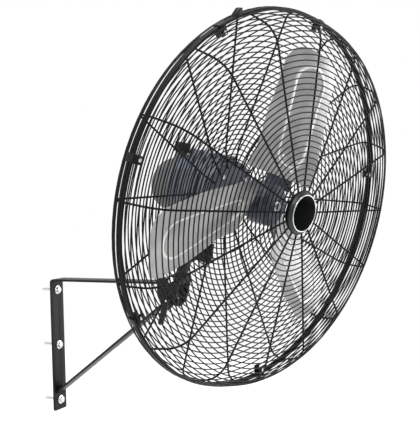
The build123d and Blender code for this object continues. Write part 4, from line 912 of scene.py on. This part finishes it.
def bead_height(x, y):
    """Rise of the bead at a point: its loop is the outline round two circles."""
    root = Vector((BEAD_ROOT[0], chord_at(BEAD_ROOT[0])[0]))
    tip = Vector((BEAD_TIP[0], chord_at(BEAD_TIP[0])[0]))
    axis = tip - root
    span = axis.length
    axis.normalize()
    from_root = Vector((x, y)) - root
    along = from_root.dot(axis)
    aside = abs(from_root.x * axis.y - from_root.y * axis.x)
    lean = (BEAD_ROOT[1] - BEAD_TIP[1]) / span
    upright = sqrt(1 - lean * lean)
    beside = along * upright - aside * lean
    if beside < 0:
        away = hypot(along, aside) - BEAD_ROOT[1]
    elif beside > upright * span:
        away = hypot(along - span, aside) - BEAD_TIP[1]
    else:
        away = aside * upright + along * lean - BEAD_ROOT[1]
    if abs(away) > BEAD_W / 2:
        return 0.0
    return BEAD_RISE * (0.5 + 0.5 * cos(2 * pi * away / BEAD_W)) ** BEAD_FULLNESS


def sheet_height(x, across):
    """Height of the twisted and bellied sheet, without its bead."""
    middle, slope = chord_at(x)
    belly = CAMBER * (1 - (2 * across / BLADE_W) ** 2)
    return belly - across * slope


crest_rise = bead_height(BEAD_TIP[0] + BEAD_TIP[1], chord_at(BEAD_TIP[0])[0])
print("bead's rise at its crest:", crest_rise, "mm")

# %% Press the three blades
ALONG = 170
ACROSS = 84
CROWDING = 0.35
BLADE_EDGE = 0.4
RIM_SHARP_FROM = radians(60)


def column_end(across):
    """Reach of the blade's outline for this place across, with the tip's corners rounded."""
    y = chord_at(TIP_R)[0] + across * spread_at(TIP_R)
    reach = sqrt(TIP_R * TIP_R - y * y)
    past = abs(across) - (BLADE_W / 2 - TIP_ROUND)
    if past > 0:
        reach -= TIP_ROUND - sqrt(TIP_ROUND * TIP_ROUND - past * past)
    return reach


def blade_frame(k):
    """The place of blade k: x along it, y across it and z forward."""
    turn = Matrix.Rotation(radians(BLADE_PHASE + 360 / BLADES * k), 4, "Z")
    return rim_frame @ turn @ Matrix.Translation((0, 0, BLADE_MID * MM))


def pressed_blade(name, place):
    """One blade: the same grid pressed twice, a sheet's thickness apart, and its rim closed."""
    form = bmesh.new()
    uv = form.loops.layers.uv.new("sheet")
    crest = form.verts.layers.float.new("crest")
    sides = []
    for lift in (BLADE_T / 2, -BLADE_T / 2):
        grid = []
        for j in range(ACROSS + 1):
            # columns crowd together near the edges, where the corners turn
            crowded = -BLADE_W / 2 * cos(pi * j / ACROSS)
            spaced = BLADE_W * (j / ACROSS - 0.5)
            across = crowded * CROWDING + spaced * (1 - CROWDING)
            end = column_end(across)
            column = []
            for i in range(ALONG + 1):
                x = ROOT_R + (end - ROOT_R) * i / ALONG
                aside = across * spread_at(x)
                y = chord_at(x)[0] + aside
                rise = bead_height(x, y)
                height = sheet_height(x, aside) + rise + lift
                point = form.verts.new((x * MM, y * MM, height * MM))
                # Share of the painted highlight at this point: the bead's rise, sharpened.
                point[crest] = (rise / BEAD_RISE) ** CREST_POWER
                column.append(point)
            grid.append(column)
        sides.append(grid)
    for grid in sides:
        for left, right in zip(grid, grid[1:]):
            for i in range(ALONG):
                form.faces.new((left[i], right[i], right[i + 1], left[i + 1]))
    rims = []
    for grid in sides:
        tip_row = [column[-1] for column in grid[:-1]]
        root_row = [column[0] for column in grid[:0:-1]]
        rims.append(grid[0][:-1] + tip_row + grid[-1][:0:-1] + root_row)
    bridge(form, *rims)
    bmesh.ops.recalc_face_normals(form, faces=form.faces)
    rim_edges = [edge for edge in form.edges if edge.calc_face_angle(0) > RIM_SHARP_FROM]
    size = {"offset": BLADE_EDGE * MM, "segments": 1, "profile": 0.5}
    bmesh.ops.bevel(form, geom=rim_edges, affect="EDGES", **size)
    for face in form.faces:
        for loop in face.loops:
            loop[uv].uv = loop.vert.co.xy
    return mesh_of(form, name, mill_sheet, place)


for k in range(BLADES):
    blade_mesh = pressed_blade(f"pressed_blade_{k + 1}", blade_frame(k))
    adopt(f"pressed_blade_{k + 1}", blade_mesh, "impeller", "blade", f"blade_{k + 1}")
print("faces of a blade:", len(blade_mesh.polygons))

# %% [markdown]
# ## Rivets
# Four rivets hold each blade to an arm of the hub, with a head on either side. A head is a
# flattened ball, and its place is a point with the direction that it faces. Each could be
# turned and placed by hand, but the sheet is twisted, so every rivet faces its own way: a
# tree sets a head on each point and turns it to that point's direction.


# %% A tree that sets heads on points
HEAD_SIDES = 20
HEAD_RINGS = 10
sockets = [("Head radius", "Float"), ("Head height", "Float")]
heads_tree = group("domed_heads", *sockets, ("Finish", "Material"))
start = add_node(heads_tree, "NodeGroupInput")
round_head = {"Segments": HEAD_SIDES, "Rings": HEAD_RINGS, "Radius": 1.0}
dome = add_node(heads_tree, "GeometryNodeMeshUVSphere", round_head)
radius, height = start.outputs["Head radius"], start.outputs["Head height"]
flat = add_node(heads_tree, "ShaderNodeCombineXYZ", {"X": radius, "Y": radius, "Z": height})
mark = {"Name": "facing"}
way = add_node(heads_tree, "GeometryNodeInputNamedAttribute", mark, data_type="FLOAT_VECTOR")
aim = {"Vector": way.outputs["Attribute"]}
turn = add_node(heads_tree, "FunctionNodeAlignRotationToVector", aim, axis="Z")
points = add_node(heads_tree, "GeometryNodeMeshToPoints", {"Mesh": start.outputs["Geometry"]})
set_on = {"Points": points.outputs[0], "Instance": dome.outputs["Mesh"]}
set_on.update({"Rotation": turn.outputs[0], "Scale": flat.outputs[0]})
heads = add_node(heads_tree, "GeometryNodeInstanceOnPoints", set_on)
end_tree(heads_tree, heads.outputs[0], start.outputs["Finish"])
print("heads tree nodes:", len(heads_tree.nodes))

# %% Set the rivets
RIVET_SPOTS = [(80.0, -13.0), (80.0, 13.0), (104.0, -13.0), (104.0, 13.0)]
RIVET_HEAD_R = 4.6 * MM
RIVET_HEAD_H = 2.0 * MM
ARM_T = 5.0
ARM_PLAY = 0.3


def on_sheet(x, across):
    """A point of the sheet's middle, in the blade's own frame, in mm."""
    return Vector((x, chord_at(x)[0] + across, sheet_height(x, across)))


places, directions = [], []
for k in range(BLADES):
    blade_turn = blade_frame(k).to_3x3()
    for x, across in RIVET_SPOTS:
        middle = on_sheet(x, across)
        # two steps of 1 mm on the sheet, along it and across it, give the way it faces
        along, aside = on_sheet(x + 1, across) - middle, on_sheet(x, across + 1) - middle
        normal = along.cross(aside).normalized()
        for depth, way in ((BLADE_T / 2, 1), (-BLADE_T / 2 - ARM_PLAY - ARM_T, -1)):
            places.append(blade_frame(k) @ ((middle + Vector((0, 0, depth))) * MM))
            directions.append(blade_turn @ normal * way)
spots_mesh = bpy.data.meshes.new("rivet_spots")
spots_mesh.from_pydata(places, [], [])
facing = spots_mesh.attributes.new("facing", "FLOAT_VECTOR", "POINT")
for k, direction in enumerate(directions):
    facing.data[k].vector = direction
values = {"Head radius": RIVET_HEAD_R, "Head height": RIVET_HEAD_H, "Finish": zinc}
rivet_mesh = run_tree("blade_rivet_heads", spots_mesh, heads_tree, values)
adopt("blade_rivet_heads", rivet_mesh, "impeller", "blade", "blade_rivets")
print("rivet heads:", len(places))

# %% [markdown]
# ## Hub and disc
# The hub is a die casting, dark under its thin coat, and its nut is plated. The disc in the
# middle of the cap is moulded and polished. All three have the right shape in the frame,
# so soft edges and a finish are all that they need.

# %% Dress the hub and the disc
dress_all(
    ("impeller_hub", dark_hub, 0.7),
    ("hub_nut", zinc, 0.4),
    ("cap_disc", gloss_plastic, 0.5, 3),
)

# %% [markdown]
# ## Clips round the rim
# Six folded clips hold the two guards together, each with a screw and a nut. The frame has
# them in full, so they only get soft edges and a finish. One thing is added: near the top
# a latch sits across both edge wires, and its strap leans up from the rim, so that the
# front guard can be taken off by hand. Its outline is drawn as seen from the front, and
# pushed out forwards and backwards.

# %% Clips, their screws, and the latch
LATCH_ANGLE = 118.4
LATCH_HALF = 6.0 * MM
LATCH_EDGE = 0.8
# Each point is a distance along the rim and a radius: up the slope, and down the far side.
LATCH_SLOPE = [(-14, 391.5), (-11, 396), (-2, 401.5), (2, 404)]
LATCH_END = [(8, 404), (9.5, 401), (8, 397), (8, 391.5)]
# A prism is pushed out along x. These axes turn that to the fan's forward direction.
LATCH_AXES = Matrix(((0, 1, 0, 0), (0, 0, 1, 0), (1, 0, 0, 0), (0, 0, 0, 1)))

dress_all(
    ("guard_clips", fitting, 0.35),
    ("clip_screws", zinc, 0.3),
    ("clip_nuts", zinc, 0.2),
)
outline = [Vector(point) * MM for point in LATCH_SLOPE + LATCH_END]
latch_mesh = prism("rim_latch", outline, LATCH_HALF, LATCH_EDGE, fitting)
latch_turn = Matrix.Rotation(radians(LATCH_ANGLE - 90), 4, "Z")
latch_mesh.transform(rim_frame @ latch_turn @ LATCH_AXES)
adopt("rim_latch", latch_mesh, "fan_head", "wire")
print("latch faces:", len(latch_mesh.polygons))

# %% [markdown]
# ## Turned pieces of the guard's middle
# The cap that covers the front guard's middle is a moulded dish with a rounded bezel, a
# chromed ring and a polished disc. Behind the blades, the rear guard's ribs end on a round
# plate. In the photograph both are a little smaller than in the frame, so they are made
# here. Each is the same all the way round, so half a section is enough: it is turned about
# the fan's axis.


# %% Turn a section about the axis
TURN_STEPS = 96
SECTION_STEP = 0.6


def turned(name, section, material):
    """A closed section of radius and forward distance, in mm, turned about the fan's axis."""
    form = bmesh.new()
    rings = []
    for k in range(TURN_STEPS):
        angle = 2 * pi * k / TURN_STEPS
        way = Vector((cos(angle), sin(angle), 0))
        rings.append([form.verts.new((way * r + Vector((0, 0, a))) * MM) for r, a in section])
    for k, ring in enumerate(rings):
        beyond = rings[(k + 1) % TURN_STEPS]
        for j in range(len(section)):
            after = (j + 1) % len(section)
            form.faces.new((ring[j], beyond[j], beyond[after], ring[after]))
    bmesh.ops.recalc_face_normals(form, faces=form.faces)
    return mesh_of(form, name, material, rim_frame)


def section_of(corners, bends):
    """A closed section whose corners are rounded, each to its own radius."""
    count = len(corners)
    points = []
    for k in range(count):
        three = [corners[k - 1], corners[k], corners[(k + 1) % count]]
        points += rounded_line(three, [bends[k]], SECTION_STEP)[1:-1]
    return points


def flat_ring(inner, outer, back, front, bends):
    """Section of a flat ring, from its two radii and the places of its two faces."""
    return section_of([(outer, back), (outer, front), (inner, front), (inner, back)], bends)


# %% Cap, trim and plates
# The bezel's corners are its foot, its widest line, its lip, and the inside again.
BEZEL = [(39.5, 86.0), (44.5, 93.5), (38.2, 100.4), (35.6, 99.4), (35.6, 92.0), (36.5, 86.0)]
BEZEL_BENDS = [0.6, 2.4, 1.6, 0.4, 0.6, 0.6]
TRIM = {"inner": 35.7, "outer": 37.9, "back": 98.6, "front": 101.0}
TRIM_BENDS = [0.4, 1.0, 1.0, 0.4]
CAP_PLATE = {"inner": 6.0, "outer": 41.5, "back": 83.6, "front": 86.0}
CAP_PLATE_BENDS = [0.5, 0.5, 0.5, 0.5]
REAR_PLATE = {"inner": 24.0, "outer": 72.0, "back": -102.0, "front": -99.5}
REAR_PLATE_BENDS = [0.8, 0.8, 0.5, 0.5]

bezel_mesh = turned("cap_bezel", section_of(BEZEL, BEZEL_BENDS), bezel_plastic)
trim_mesh = turned("cap_trim", flat_ring(**TRIM, bends=TRIM_BENDS), trim_chrome)
plate_mesh = turned("cap_back", flat_ring(**CAP_PLATE, bends=CAP_PLATE_BENDS), fitting)
rear_section = flat_ring(**REAR_PLATE, bends=REAR_PLATE_BENDS)
rear_plate_mesh = turned("rear_plate", rear_section, motor_enamel)
made = [
    adopt("cap_bezel", bezel_mesh, "fan_head", "cap", "hub_cap"),
    adopt("cap_trim", trim_mesh, "fan_head", "cap"),
    adopt("cap_back", plate_mesh, "fan_head", "wire", "cap_plate"),
    adopt("rear_plate", rear_plate_mesh, "fan_head", "motor", "guard_plate"),
]
print("turned faces:", [len(piece.data.polygons) for piece in made])
